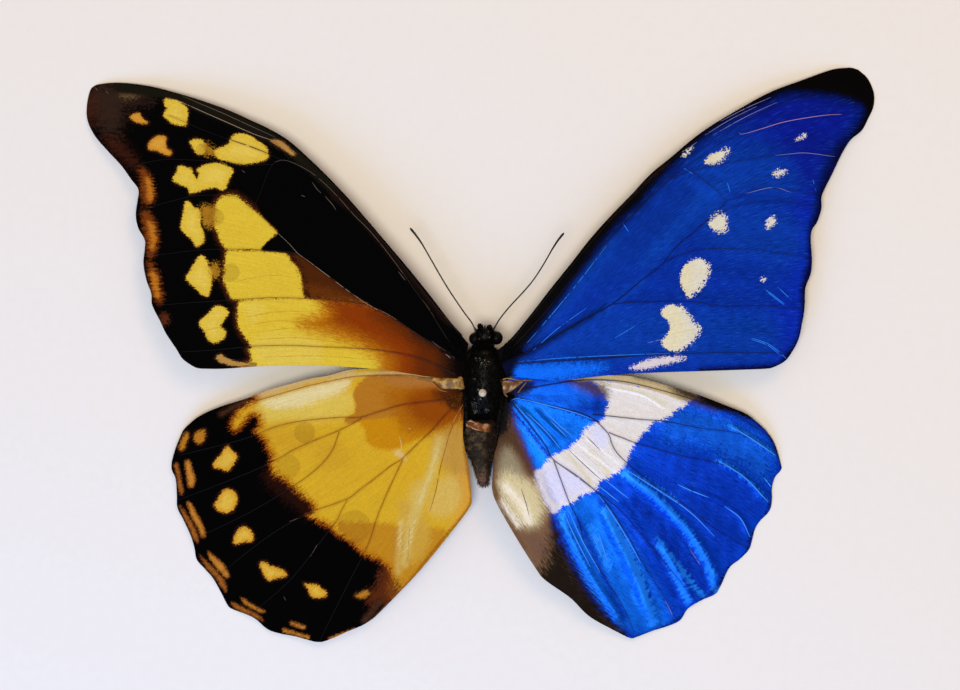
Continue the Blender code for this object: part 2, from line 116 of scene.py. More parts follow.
# Veins, from the body outwards, traced in the photograph
VEINS = {
    "forewing_left": [
        [(462, 336), (430, 300), (400, 262), (370, 226), (340, 192), (310, 163), (290, 147), (268, 134),
         (240, 124)],
        [(455, 350), (445, 335), (430, 311), (415, 290), (400, 269), (385, 249), (370, 231), (355, 216),
         (340, 199), (325, 184), (310, 172), (295, 163), (283, 161), (270, 155), (250, 147), (232, 141),
         (205, 131), (170, 116)],
        [(290, 160), (278, 145), (258, 134), (240, 129), (222, 121), (200, 110), (180, 101)],
        [(295, 163), (283, 161), (274, 165), (268, 176), (262, 192), (256, 205), (250, 208)],
        [(274, 165), (250, 166), (225, 163), (200, 161), (165, 160), (135, 166)],
        [(455, 360), (448, 353), (430, 342), (410, 329), (390, 316), (370, 305.5), (350, 292), (330, 277),
         (310, 262), (299, 254), (290, 244), (279, 233), (266, 220), (250, 207), (236, 197), (200, 196),
         (175, 201), (150, 208), (138, 211)],
        [(299, 254), (290, 252.5), (263, 250.5), (226, 249.5), (195, 251), (170, 254), (146, 256)],
        [(372, 306), (350, 302), (330, 300), (299, 298.5), (270, 298), (230, 300.5), (190, 303), (152, 306)],
        [(455, 374), (420, 358), (380, 350), (350, 348), (320, 346.7), (287, 345.4), (252, 346.5), (215, 350),
         (178, 352)],
    ],
    "forewing_right": [
        [(505, 349), (535, 312), (570, 268), (605, 226), (640, 190), (672, 160), (700, 138)],
        [(508, 352), (545, 312), (575, 275), (608, 240), (640, 207), (668, 180), (688, 158), (715, 141),
         (740, 125), (775, 107), (815, 93)],
        [(668, 180), (700, 158), (738, 133.5), (761, 129.4), (780, 123.4), (800, 119.3), (824, 115.7),
         (850, 113)],
        [(668, 180), (690, 172), (730, 163), (774, 156), (790, 154.5), (805, 153.5), (838, 156)],
        [(690, 172), (704, 182), (717, 192), (727, 201), (760, 189), (800, 192), (824, 196)],
        [(518, 357), (560, 333), (588, 317), (611, 304.6), (640, 281), (660, 266), (676, 246), (695, 231),
         (727, 201)],
        [(695, 231), (705, 222), (740, 205), (780, 202), (820, 208)],
        [(665, 262), (680, 255), (700, 250), (730, 249), (760, 251), (811, 258)],
        [(611, 304.6), (630, 302.5), (650, 302), (690, 302), (720, 306), (760, 306), (803, 309)],
        [(512, 363), (540, 361.5), (588, 358.5), (649, 354.6), (700, 353), (740, 352.5), (790, 353)],
    ],
    "hindwing_left": [
        [(452, 391), (441, 388), (435, 383), (430, 379.5), (416, 376), (397, 375), (372, 375.5), (354, 376.5),
         (335, 380), (312, 385), (287, 392), (256, 401)],
        [(452, 398), (420, 402), (400, 405), (380, 411), (360, 417), (340, 417), (300, 421), (275, 427),
         (240, 440), (180, 455)],
        [(362, 418), (350, 425), (335, 432), (315, 440), (295, 449), (268, 464), (230, 480), (178, 500)],
        [(340, 431), (337, 440), (333, 450), (322, 464), (305, 478), (290, 488), (250, 512), (192, 540)],
        [(455, 405), (445, 415), (432, 430), (420, 441), (410, 451), (400, 460), (390, 466), (375, 478),
         (360, 489), (350, 497), (335, 503), (320, 508), (308, 513), (270, 535), (212, 580)],
        [(349, 497), (343, 508), (337, 520), (327, 533), (318, 545), (290, 580), (250, 615)],
        [(404, 457), (398, 470), (390, 487), (383, 503), (376, 521), (368, 545), (345, 590), (320, 640)],
    ],
    "hindwing_right": [
        [(516, 390), (545, 385), (580, 380), (620, 381), (660, 390), (700, 402), (740, 418), (768, 436)],
        [(520, 398), (545, 404), (575, 411), (592, 418), (600, 425), (608, 434), (611, 443), (616, 452),
         (628, 464), (645, 478), (665, 492), (690, 508), (713, 527), (748, 548)],
        [(592, 414), (603, 415), (640, 419), (665, 421), (700, 428), (740, 434), (776, 455)],
        [(608, 432), (622, 437.5), (637, 443), (680, 455), (725, 465), (745, 478), (760, 492), (769, 503)],
        [(512, 402), (530, 425), (545, 445), (553, 459), (575, 474), (597, 492), (610, 508), (620, 523),
         (632, 543), (641, 560), (660, 590), (676, 618)],
        [(590, 486), (620, 510), (650, 545), (675, 575), (697, 602)],
        [(553, 459), (560, 478), (569, 502), (578, 520), (585, 545), (600, 570), (622, 605), (634, 632)],
    ],
}
# In millimetres: a vein's radius at the body and at its end, how far it takes to thin from one to the other,
# the space between its points, and how far off it is still measured
VEIN_RADII = (0.17, 0.07)
VEIN_LENGTH = 48
VEIN_STEP = 0.7
VEIN_REACH = 4.0
# How deep the membrane sags between veins, and how far from a vein it is deepest, in millimetres
MEMBRANE_SAG = 0.12
SAG_REACH = 2.5
CREASE_STEP = 0.4
# Hair-scales along a wing's outer margin: count, length, width, and how far inside the margin they start
FRINGE_COUNT = 1500
FRINGE_LENGTH = 0.22
FRINGE_WIDTH = 0.05
FRINGE_SET_IN = 0.16
# Height of loose scales over the bare shell, since they lie on fur
DUST_LIFT = 0.35
# Height that rays start from when they look for a surface below, and places measured at a time
RAY_START = 20
BATCH = 4000
# A slanting direction along which no two faces of a piece lie equally far
SORTING_DIRECTION = (1.0, 0.618, 0.377)

# In metres: the camera's height and the width of what it sees; its sensor is in millimetres
CAMERA_HEIGHT = 0.8
VIEW_WIDTH = 0.16
SENSOR_WIDTH = 36.0


@dataclass
class Mark:
    """One colour of scales, or a painted highlight or painted shade laid the same way: closed patches, and
    streaks as (route, width in mm), traced in the photograph.

    edge is how many millimetres the colour takes to fade in. Its edge strays by speckle from scale to scale,
    by fray in strands that run with the veins, and by bars across them. strength is how far it covers what
    lies below, and metal how far its scales shine like metal. rims and cores are other colours outside and
    inside the mark's own, each with its depth from the edge and how many times softer than the edge it is.
    """
    name: str
    colour: str
    edge: float
    speckle: float = 0.15
    strength: float = 1.0
    metal: float = 0.0
    fray: float = 0.0
    bars: float = 0.0
    rims: tuple = ()
    cores: tuple = ()
    patches: tuple = ()
    streaks: tuple = ()


# Scales of each wing: the ground colour, and over it the marks, from the lowest to the top one; some marks
# are painted highlights and painted shade, as said at each
GROUNDS = {"forewing_left": "#030202", "hindwing_left": "#d0a524",
           "forewing_right": "#052c9c", "hindwing_right": "#063cc4"}
MARKS = {
    "forewing_left": [
        Mark("apex_brown", "#33231a", 3.6, 0.9, 0.85, fray=1.2, bars=0.7, patches=[
            [(88, 100), (95, 86), (118, 85), (144, 90), (150, 100), (130, 106), (122, 122), (114, 138),
             (98, 124)]]),
        Mark("apex_red", "#421f12", 2.4, 0.6, 0.65, fray=0.8, patches=[
            [(104, 138), (116, 139), (128, 149), (138, 162), (138, 171), (124, 160), (110, 148)],
            [(84, 100), (92, 92), (97, 98), (96, 118), (92, 126), (84, 118)]]),
        Mark("apex_tan", "#77603f", 1.2, 0.6, 0.6, patches=[
            [(122, 95), (130, 93), (137, 95), (135, 98), (126, 98)]]),
        Mark("lunule", "#74380f", 1.1, 0.3, fray=0.5, patches=[
            [(141, 169), (146, 170), (152, 178), (155, 190), (156, 198), (151, 205), (145, 203), (142, 194),
             (141, 180)],
            [(143, 213), (150, 213), (156, 222), (159, 232), (159, 242), (157, 252), (152, 258), (148, 251),
             (147, 240), (144, 226)],
            [(149, 263), (154, 264), (160, 275), (162, 287), (164, 297), (162, 303), (157, 301), (153, 292),
             (150, 278)]]),
        Mark("lunule_bright", "#b8721e", 0.9, 0.2, fray=0.3, patches=[
            [(147, 178), (152, 182), (154, 192), (153, 201), (149, 200), (148, 190)],
            [(149, 222), (155, 226), (157, 236), (156, 247), (152, 250), (152, 240), (150, 231)],
            [(152, 272), (157, 274), (159, 284), (161, 296), (158, 298), (155, 290), (153, 281)]]),
        Mark("lunule_low", "#5c2c16", 0.8, 0.4, 0.8, fray=0.3, patches=[
            [(161, 317), (166, 313), (170, 318), (168, 324), (164, 324)]]),
        Mark("margin_soot", "#0a0504", 0.7, 0.3, 0.85, fray=0.3, streaks=[
            ([(139, 182), (137, 200), (137, 216), (141, 232), (145, 246), (143.5, 262), (146, 282),
              (151, 296), (152, 306), (161, 324), (168, 336)], 0.25)]),
        Mark("rear_yellow", "#dabc36", 0.35, 0.2, fray=0.16,
             rims=(("#34160a", -0.7, 2.5), ("#7a4410", -0.2, 1.0)), patches=[
            [(241, 302), (239, 310), (239, 318), (240, 326), (243, 332), (247, 338), (251, 343), (253, 347),
             (250, 350), (252, 354), (253, 360), (248, 366), (300, 370), (360, 370), (400, 374), (440, 384),
             (470, 384), (464, 366), (440, 348), (410, 331), (370, 307), (340, 302), (303, 299), (270, 299),
             (250, 300)],
            [(229, 252), (240, 251), (260, 251.5), (275, 252.5), (285, 254), (290, 257), (292, 262),
             (297, 266), (301, 272), (303, 280), (304, 287), (304, 293), (303, 300), (270, 299), (250, 300),
             (240, 300.5), (233, 298.5), (230, 293), (227, 286), (225, 280), (226, 272), (226, 265),
             (227, 257)],
            [(216, 209), (218, 203), (222, 198), (228, 196), (234, 195.5), (240, 198), (246, 203), (252, 208),
             (259, 214), (266, 220), (273, 227), (279, 232.5), (276, 236), (271, 241), (266, 246), (263, 250),
             (245, 250), (229, 250), (225, 246), (221, 240), (219, 233), (216, 228), (215, 218)]]),
        Mark("rear_pale", "#dcc455", 2.0, 0.2, 0.6, fray=0.8, patches=[
            [(262, 336), (300, 336), (320, 342), (318, 364), (270, 366), (256, 352)],
            [(248, 304), (264, 306), (256, 324), (249, 318)]]),
        Mark("amber_flush", "#c98d12", 3.4, 0.3, fray=1.0, patches=[
            [(322, 301), (323, 310), (314, 317), (297, 323), (310, 330), (330, 336), (352, 343), (374, 354),
             (384, 366), (392, 388), (480, 392), (480, 340), (400, 310), (350, 298)]]),
        Mark("burnt_brown", "#a75e0a", 4.0, 0.3, fray=1.0, patches=[
            [(323, 302), (326, 312), (318, 319), (303, 323), (318, 329), (340, 337), (364, 346), (380, 358),
             (388, 388), (480, 392), (480, 340), (400, 310), (350, 298)]]),
        Mark("rust_brown", "#853605", 3.2, 0.3, fray=0.8, patches=[
            [(328, 302), (336, 313), (336, 322), (358, 333), (382, 346), (397, 358), (404, 388), (480, 392),
             (480, 340), (400, 310), (350, 298)]]),
        Mark("dark_brown", "#5e2706", 3.4, 0.3, fray=0.6, patches=[
            [(370, 312), (388, 328), (404, 340), (414, 352), (420, 388), (480, 392), (480, 340),
             (410, 316)]]),
        Mark("root_brown", "#35190b", 3.0, 0.3, fray=0.5, patches=[
            [(412, 334), (428, 346), (438, 356), (444, 390), (490, 392), (484, 340), (430, 330)]]),
        Mark("cell_brown", "#4a2208", 1.2, 0.6, fray=0.7, patches=[
            [(291, 250), (296, 258), (301, 267), (304, 278), (306, 289), (313, 295), (330, 299), (372, 306),
             (404, 325), (398, 312), (360, 286), (330, 262), (300, 244)]]),
        Mark("cell_rust", "#6a360c", 1.4, 0.4, 0.6, fray=0.7, patches=[
            [(307, 287), (320, 286), (340, 293), (362, 304), (340, 302), (316, 298)]]),
        Mark("cell_black", "#020202", 0.35, 0.12, patches=[
            [(279, 232.5), (270, 241), (263, 250.5), (285, 253), (297, 254.5), (310, 263), (330, 277),
             (350, 292), (370, 305), (390, 316), (410, 329), (430, 342), (446, 351), (458, 362), (488, 366),
             (482, 340), (456, 312), (420, 272), (388, 236), (350, 202), (312, 168), (290, 154), (270, 160),
             (258, 190), (262, 214)]]),
        Mark("costa_olive", "#17150c", 0.8, 0.2, patches=[
            [(120, 84), (160, 89), (210, 101), (250, 120), (286, 142), (310, 162), (338, 190), (334, 195),
             (304, 169), (280, 150), (244, 132), (204, 114), (160, 98), (118, 92)]]),
        Mark("costa_red", "#190d08", 0.8, 0.2, patches=[
            [(336, 190), (362, 216), (392, 252), (424, 290), (450, 322), (444, 322), (414, 286), (384, 250),
             (356, 218), (332, 198)]]),
        Mark("yellow_spots", "#dabb3c", 0.32, 0.14, fray=0.14,
             rims=(("#24110a", -0.32, 1.8), ("#7a4a12", -0.08, 1.0)),
             cores=(("#dfc350", 0.9, 4.0),), patches=[
            [(166, 99.5), (172, 100), (179, 101.5), (185, 105.5), (188, 109.5), (188.5, 116), (187.5, 121),
             (187.5, 125.5), (183, 126), (177, 125), (171, 122.5), (167, 119), (164.5, 115), (167, 109),
             (165, 104)],
            [(191, 142), (195, 140), (201, 140), (205, 143), (207, 148), (207, 153), (203, 155), (199, 155),
             (195, 151), (193, 147)],
            [(219, 159), (215, 152), (222, 148), (229, 145), (231, 140), (236, 135.5), (243, 134.5),
             (250, 136.5), (257, 140.5), (264, 145.5), (268, 150), (269.5, 155), (269, 159), (264, 162),
             (255, 163.5), (245, 165), (236, 164), (226, 161)],
            [(174, 180), (178, 172), (179, 168), (184, 166.5), (189, 169), (192, 169.5), (194, 174),
             (198, 180), (200, 175), (198, 171), (203, 167), (212, 164.5), (220, 164), (228, 166.5),
             (234, 171), (232, 177), (229, 184), (226, 190), (222, 190.5), (217, 188.5), (210, 189),
             (203, 191), (197, 193), (191, 194), (190, 190), (186, 187), (179, 184)],
            [(186, 204.5), (188, 202), (191, 203.5), (195, 208), (200, 209.5), (202, 216), (202, 226),
             (204.5, 233), (205.5, 240), (203, 244.5), (199, 247), (196, 245), (193, 239.5), (187, 235),
             (183, 230), (182, 226), (183.5, 219), (185, 212)],
            [(201, 256.5), (204, 256.5), (208, 261), (210, 267), (213.5, 270), (214, 274), (213, 282),
             (212, 289), (210, 295.5), (206, 296), (201, 292.5), (196, 287.5), (190, 282.5), (187, 278),
             (191, 272), (194, 267), (197, 262)],
            [(212, 311), (216, 307), (220.5, 306), (226.5, 308.5), (230, 312), (228, 317), (224, 322),
             (222, 327), (226, 330), (227, 335), (224, 339.5), (218, 342.5), (212.5, 342), (209, 338.5),
             (206, 332), (202, 327), (201, 322), (204.5, 318), (209, 315)]]),
        Mark("orange_spots", "#cb8c2c", 0.4, 0.12, fray=0.1,
             rims=(("#2e1408", -0.3, 1.6),), cores=(("#d6a03c", 0.5, 2.5),), patches=[
            [(130, 118), (134, 114.5), (139, 113.5), (142, 117), (145, 120), (149, 123.5), (143, 124),
             (136, 122)],
            [(151, 142), (156, 137.5), (161, 136), (167, 138), (167, 147), (171, 151), (173, 153), (170, 156),
             (163, 154), (156, 151), (150, 150), (149, 146)]]),
        Mark("tan_streak", "#bd8e46", 0.3, 0.1, 0.9, fray=0.25, rims=(("#3a2414", -0.2, 1.5),), patches=[
            [(272, 141), (283, 142), (291, 150), (297, 155), (293, 156), (285, 151), (277, 146)],
            [(217, 357), (222, 354.5), (228, 358), (236, 361), (246, 363), (255, 363.5), (255, 365),
             (240, 366), (228, 364), (219, 360)]]),
        Mark("olive_bridge", "#b27f20", 1.0, 0.5, 0.85, fray=0.3, patches=[
            [(201, 208), (212, 206), (217, 209), (217, 220), (212, 228), (205, 225), (203, 216)],
            [(204, 145), (212, 147), (216, 155), (207, 155)],
            [(211, 267), (218, 264), (220, 275), (213, 278)]]),
        Mark("root_black", "#060403", 2.8, 0.3, fray=0.9, patches=[
            [(457, 346), (476, 338), (494, 350), (490, 388), (464, 384), (451, 374), (450, 358)]]),
    ],
    "hindwing_left": [
        Mark("front_yellow", "#d6ba4e", 2.4, 0.2, fray=0.7, patches=[
            [(256, 406), (300, 394), (345, 390), (356, 400), (350, 414), (320, 420), (290, 420),
             (268, 424)]]),
        Mark("costa_cream", "#dfcf94", 1.6, 0.15, 0.95, fray=0.5, patches=[
            [(262, 402), (288, 393), (312, 386), (334, 381), (348, 379), (350, 384), (340, 392), (322, 399),
             (300, 406), (276, 408)]]),
        Mark("front_ochre", "#c79a24", 2.4, 0.3, 0.85, fray=0.7, patches=[
            [(266, 424), (286, 424), (312, 430), (322, 442), (300, 452), (276, 450), (266, 440)],
            [(320, 440), (345, 444), (350, 460), (330, 470), (316, 462)]]),
        Mark("anal_tan", "#bd913c", 2.6, 0.2, fray=0.9, patches=[
            [(436, 432), (452, 424), (466, 430), (474, 470), (474, 500), (460, 492), (446, 470),
             (434, 452)]]),
        Mark("anal_pale", "#d0af56", 2.4, 0.2, 0.9, fray=1.0, patches=[
            [(440, 478), (458, 476), (466, 496), (456, 512), (438, 516), (428, 506), (434, 490)],
            [(414, 484), (426, 484), (424, 504), (414, 520), (406, 510)]]),
        Mark("anal_amber", "#d49b34", 1.6, 0.2, 0.8, fray=0.5, patches=[
            [(460, 474), (470, 478), (474, 500), (462, 520), (446, 536), (456, 510), (462, 492)]]),
        Mark("rear_tan", "#b97f1a", 1.0, 0.3, 0.92, fray=0.7, patches=[
            [(336, 524), (348, 521), (378, 521.5), (400, 524), (424, 526), (446, 530), (440, 552), (410, 582),
             (396, 596), (374, 570)]]),
        Mark("rear_gold", "#c79e3c", 1.8, 0.2, 0.85, fray=0.9, patches=[
            [(400, 500), (416, 506), (428, 520), (430, 540), (418, 560), (408, 556), (402, 530)]]),
        Mark("lobe_amber", "#c2850d", 0.9, 0.15, fray=0.3, patches=[
            [(360, 420), (366, 430), (367, 440), (375, 447), (385, 449), (396, 449), (407, 444), (424, 436),
             (440, 428), (452, 420), (440, 404), (400, 400), (370, 410)]]),
        Mark("base_brown", "#b07420", 0.5, 0.12, fray=0.2, patches=[
            [(374, 372), (366, 378), (357, 386), (354, 395), (356, 405), (355, 413), (346, 418), (349, 424),
             (362, 420), (380, 418), (400, 416), (440, 414), (470, 404), (470, 380), (440, 370),
             (400, 366)]]),
        Mark("base_dark", "#a4600a", 3.0, 0.25, 0.95, fray=0.8, patches=[
            [(386, 392), (410, 384), (440, 380), (474, 380), (474, 412), (446, 428), (424, 434), (406, 432),
             (396, 418)]]),
        Mark("base_rust", "#8c4306", 2.6, 0.25, 0.95, fray=0.6, patches=[
            [(408, 396), (424, 388), (446, 384), (474, 384), (474, 412), (446, 424), (424, 424),
             (410, 412)]]),
        Mark("root_dark", "#4a2109", 2.6, 0.25, 0.95, fray=0.5, patches=[
            [(434, 392), (450, 384), (480, 376), (480, 424), (464, 412), (450, 404), (440, 400)]]),
        Mark("root_black", "#1a0e07", 3.0, 0.3, 0.95, fray=0.9, patches=[
            [(458, 386), (470, 378), (490, 384), (488, 410), (468, 408), (460, 399)]]),
        Mark("front_tan", "#a96f32", 1.4, 0.2, 0.85, patches=[
            [(384, 378), (400, 374), (450, 378), (452, 386), (430, 386), (400, 386)]]),
        # Painted highlights: pale stripes along the pleats
        Mark("pleat_pale_highlight", "#d0ba66", 1.6, 0.15, 0.65, fray=0.3, streaks=[
            ([(440, 440), (432, 470), (420, 500), (410, 530), (404, 562)], 1.5),
            ([(402, 520), (400, 546), (398, 572)], 0.7)]),
        # Painted highlights: pale lines on the pleats, and a highlight spot
        Mark("pleat_line_highlight", "#dccb94", 0.9, 0.15, 0.5, fray=0.4, streaks=[
            ([(438, 446), (430, 474), (420, 502)], 0.3), ([(414, 520), (408, 548)], 0.25),
            ([(401, 522), (400, 548)], 0.25), ([(398, 452), (404, 457)], 0.9)]),
        Mark("rust_edge", "#70300c", 2.2, 0.5, 0.92, fray=1.0, patches=[
            [(368, 556), (378, 562), (385, 572), (390, 582), (398, 586), (402, 596), (384, 616), (360, 632),
             (350, 600), (360, 572)]]),
        Mark("edge_amber", "#8f5412", 0.6, 0.1, 0.85, streaks=[
            ([(464, 420), (465, 450), (470, 480), (471, 500), (462, 516), (440, 542), (418, 570), (398, 594)],
             0.5)]),
        Mark("costa_tan", "#c8a96e", 0.6, 0.1, 0.95, fray=0.2, streaks=[
            ([(246, 398), (262, 391), (290, 382), (320, 373), (350, 369)], 2.2)]),
        Mark("costa_yellow", "#d8bc78", 0.5, 0.1, 0.8, fray=0.2, streaks=[
            ([(330, 381), (352, 376), (372, 373.5), (400, 373), (436, 377)], 0.6)]),
        Mark("border_black", "#020101", 0.45, 0.3, fray=0.45,
             rims=(("#b4700c", -1.1, 4.0), ("#622308", -0.5, 2.2)), patches=[
            [(250, 397), (243, 404), (236, 410), (233, 415), (230, 420), (229, 426), (231, 431), (236, 434),
             (240, 431), (244, 428), (248, 423), (251, 419), (254, 417), (257, 418), (258, 423), (255, 428),
             (252, 431), (255, 435), (260, 439), (264, 442), (265, 449), (269, 453), (270, 458), (268, 464),
             (270, 470), (272, 477), (279, 480), (286, 484), (290, 489), (296, 493), (300, 498), (306, 502),
             (311, 507), (309, 511), (306, 514), (311, 519), (320, 524), (328, 528), (332, 531), (335, 535),
             (343, 539), (352, 545), (358, 551), (364, 556), (372, 559), (380, 563), (386, 569), (388, 576),
             (385, 586), (386, 594), (392, 604), (380, 622), (364, 640), (318, 650), (230, 620), (160, 480),
             (180, 410)]]),
        Mark("border_scorch", "#2c1108", 1.8, 0.6, 0.6, fray=0.8, patches=[
            [(268, 470), (284, 480), (300, 492), (313, 508), (308, 516), (292, 505), (276, 492),
             (264, 480)]]),
        Mark("corner_rust", "#5c2a10", 1.6, 0.5, 0.8, fray=0.9, patches=[
            [(368, 592), (376, 586), (380, 572), (386, 566), (391, 574), (398, 582), (398, 594), (388, 604),
             (378, 600), (370, 604)]]),
        Mark("corner_brown", "#4a2c1c", 1.2, 0.2, 0.8, streaks=[
            ([(222, 414), (236, 406), (247, 400.5)], 0.7), ([(379, 602), (374, 609), (365, 620)], 0.9)]),
        Mark("border_spots", "#cf9a2a", 0.35, 0.15, fray=0.14,
             rims=(("#35170a", -0.3, 1.8), ("#8a4a10", -0.08, 1.0)),
             cores=(("#d8b040", 0.55, 2.5),), patches=[
            [(214, 466), (217, 459), (222, 454), (225, 449), (229, 446), (232, 450), (238, 455), (237, 459),
             (234, 464), (230, 470), (225, 470), (219, 468)],
            [(215, 505), (218, 500), (221, 494), (226, 489.5), (232, 489.5), (236, 493), (238, 499),
             (236, 505), (232, 511), (225, 512.5), (219, 510)],
            [(234, 541), (236, 534), (239, 529), (244, 526), (249, 528), (253, 533), (254, 539), (251, 541),
             (246, 541), (240, 543), (236, 544)],
            [(260, 563), (266, 562), (272, 566), (280, 568), (285, 571), (287, 575), (281, 577), (275, 578),
             (270, 580), (266, 577), (263, 571)],
            [(305, 583), (311, 584), (317, 584), (322, 588), (327, 592), (325, 596), (319, 597), (313, 596.5),
             (310, 592), (308, 588)]]),
        Mark("orange_spots", "#b4761f", 0.6, 0.15, 0.95, fray=0.2, rims=(("#3a1a0a", -0.25, 1.5),), patches=[
            [(356, 595), (361, 592), (366, 589.5), (370, 592), (367, 596), (361, 597)],
            [(195, 435), (200, 431), (205, 430), (205, 439), (200, 443), (196, 441)],
            [(180, 449), (182, 440), (186, 433), (189, 434), (187, 442), (184, 449)]]),
        Mark("margin_stripes", "#5a2c12", 0.5, 0.15, 0.95, fray=0.05,
             cores=(("#a2601f", 0.22, 1.4),), patches=[
            [(174, 464), (178, 463), (180, 470), (182, 480), (184, 492), (181, 495), (178, 488), (177, 478),
             (175, 470)],
            [(179, 505), (184, 509), (190, 518), (195, 527), (199, 537), (198, 543), (193, 538), (190, 530),
             (186, 522), (182, 514)],
            [(199, 555), (206, 560), (212, 566), (219, 573), (224, 579), (227, 587), (226, 592), (221, 587),
             (217, 580), (211, 573), (205, 566)],
            [(231, 602), (240, 605), (248, 609), (255, 612), (261, 616), (264, 621), (258, 619), (250, 615),
             (242, 612), (234, 608)]]),
        Mark("inner_stripes", "#6e3610", 0.5, 0.15, 0.95, fray=0.05, cores=(("#bf7f2c", 0.2, 1.4),), patches=[
            [(185, 462), (190, 460), (193, 469), (196, 478), (194, 486), (189, 487), (187, 478)],
            [(187, 502), (191, 502), (196, 511), (201, 520), (205, 529), (206, 536), (202, 537), (198, 528),
             (192, 518), (189, 510)],
            [(208, 551), (214, 555), (221, 561), (227, 568), (230, 576), (226, 578), (219, 571), (213, 563),
             (209, 557)],
            [(241, 597), (250, 602), (258, 607), (266, 611), (259, 612), (251, 608), (244, 603)]],
            streaks=[([(284, 630), (308, 637)], 0.7), ([(292, 623), (304, 627)], 0.7),
                     ([(330, 638), (355, 629)], 0.5)]),
    ],
    "forewing_right": [
        Mark("deep_blue", "#052e94", 5.0, 0.3, 0.8, metal=0.35, fray=1.4, patches=[
            [(590, 262), (620, 220), (660, 184), (700, 176), (726, 200), (700, 222), (664, 256), (630, 276),
             (600, 290)]]),
        Mark("apex_violet", "#08158e", 7.0, 0.4, 0.9, metal=0.35, fray=1.6, patches=[
            [(730, 110), (790, 88), (866, 96), (850, 140), (822, 176), (820, 240), (800, 220), (780, 150)]]),
        Mark("outer_violet", "#0726ae", 5.0, 0.4, 0.8, metal=0.35, fray=1.4, patches=[
            [(800, 200), (822, 200), (816, 260), (810, 300), (800, 350), (780, 368), (770, 340),
             (786, 280)]]),
        Mark("middle_bright", "#0839a8", 5.0, 0.6, 0.8, metal=0.35, fray=1.5, patches=[
            [(690, 160), (730, 150), (780, 160), (800, 190), (760, 196), (720, 186), (696, 196)],
            [(700, 196), (760, 206), (800, 230), (790, 262), (740, 256), (706, 240)]]),
        Mark("rear_blue", "#05369e", 4.0, 0.5, 0.8, metal=0.35, fray=1.2, patches=[
            [(560, 340), (620, 312), (700, 310), (770, 318), (770, 356), (700, 362), (560, 362)]]),
        # Painted highlight: a soft azure streak along the fold in the cell
        Mark("cell_azure_highlight", "#0a42b6", 2.6, 0.4, 0.75, metal=0.35, fray=1.2, patches=[
            [(514, 356), (534, 330), (560, 296), (584, 268), (606, 240), (616, 240), (600, 266), (580, 294),
             (556, 322), (530, 350)]]),
        # Painted highlights: wide soft azure streaks
        Mark("cell_highlight", "#0842b4", 3.0, 0.3, 0.7, metal=0.35, fray=1.0, patches=[
            [(640, 262), (672, 226), (704, 190), (740, 178), (736, 186), (708, 204), (680, 234), (652, 262)],
            [(536, 352), (570, 328), (604, 306), (640, 280), (636, 288), (604, 314), (572, 334),
             (542, 356)]]),
        Mark("base_navy", "#02134a", 1.6, 0.2, 0.9, metal=0.35, fray=0.6, patches=[
            [(506, 364), (520, 352), (548, 336), (584, 316), (606, 304), (592, 318), (560, 338), (530, 356)],
            [(506, 352), (526, 326), (556, 290), (566, 282), (560, 300), (540, 326), (520, 350)]]),
        Mark("base_azure", "#0a66ea", 2.0, 0.6, 0.9, metal=0.35, fray=1.0, bars=0.5, patches=[
            [(510, 366), (530, 363), (560, 362), (590, 363), (606, 366), (590, 374), (560, 380), (530, 383),
             (512, 380)]]),
        Mark("base_black", "#020202", 1.2, 0.3, fray=0.7, patches=[
            [(494, 340), (514, 338), (525, 350), (518, 358), (516, 366), (514, 374), (518, 388),
             (494, 392)]]),
        Mark("border_black", "#030203", 1.3, 0.15, fray=0.4, rims=(("#020a34", -1.0, 2.2),), patches=[
            [(490, 352), (514, 354), (546, 313), (576, 273), (612, 227), (636, 204), (650, 187), (665, 171),
             (690, 146), (716, 126), (752, 106), (785, 92), (801, 91), (820, 92), (840, 95), (858, 101),
             (866, 110), (857, 130), (838, 152), (824, 188), (823, 240), (880, 240), (900, 40), (600, 40)]]),
        Mark("margin_black", "#04030a", 0.5, 0.15, rims=(("#030f56", -0.6, 2.4),), streaks=[
            ([(845, 142), (832, 166), (820, 194), (819, 208), (811, 232), (810, 262), (803, 288), (804, 310),
              (801, 328), (796, 344), (786, 356), (772, 367), (700, 371)], 0.3)]),
        Mark("costa_brown", "#2c1a1c", 0.5, 0.2, 0.6, fray=0.3, streaks=[
            ([(608, 221), (624, 203), (644, 184), (668, 163)], 0.3)]),
        Mark("cream", "#e0dab8", 0.22, 0.2, fray=0.12, patches=[
            [(703, 163.5), (706, 159), (712, 154.5), (718, 152), (721, 152), (722, 156), (720, 160),
             (714, 163), (707, 164.5)],
            [(707, 225), (711, 221), (715, 217.5), (718, 217), (721, 221), (722, 227), (719, 231), (714, 230),
             (710, 228)],
            [(690, 261), (697, 259.5), (701, 262), (703.5, 266), (704, 272), (701, 278), (697, 284),
             (693, 290), (690, 295), (686, 296.5), (683, 291), (680, 286), (679, 277), (681, 269),
             (685, 264)],
            [(660, 311), (665, 306.5), (672, 305), (678, 307), (682, 312), (685, 318), (688, 325), (690, 330),
             (688, 336), (685, 342), (680, 347), (675, 350.5), (668, 350.5), (661.5, 346), (661.5, 339.5),
             (667, 334), (669, 329), (667.5, 322), (662, 317)]]),
        Mark("cream_dust", "#dcdac6", 0.3, 0.5, 0.95, fray=0.2, patches=[
            [(708, 163), (716, 155), (723, 151), (727, 151), (724, 159), (716, 164)],
            [(709, 222), (717, 214), (723, 216), (726, 223), (724, 231), (716, 233)],
            [(690, 262), (702, 261), (708, 267), (706, 278), (697, 290), (688, 297), (690, 280)],
            [(678, 308), (686, 312), (692, 322), (699, 329), (694, 338), (685, 347), (675, 350),
             (684, 334)]]),
        # Cream specks; the last patch is a painted highlight at the costa
        Mark("cream_specks_and_highlight", "#dcdbd0", 0.3, 0.35, 0.95, fray=0.15, patches=[
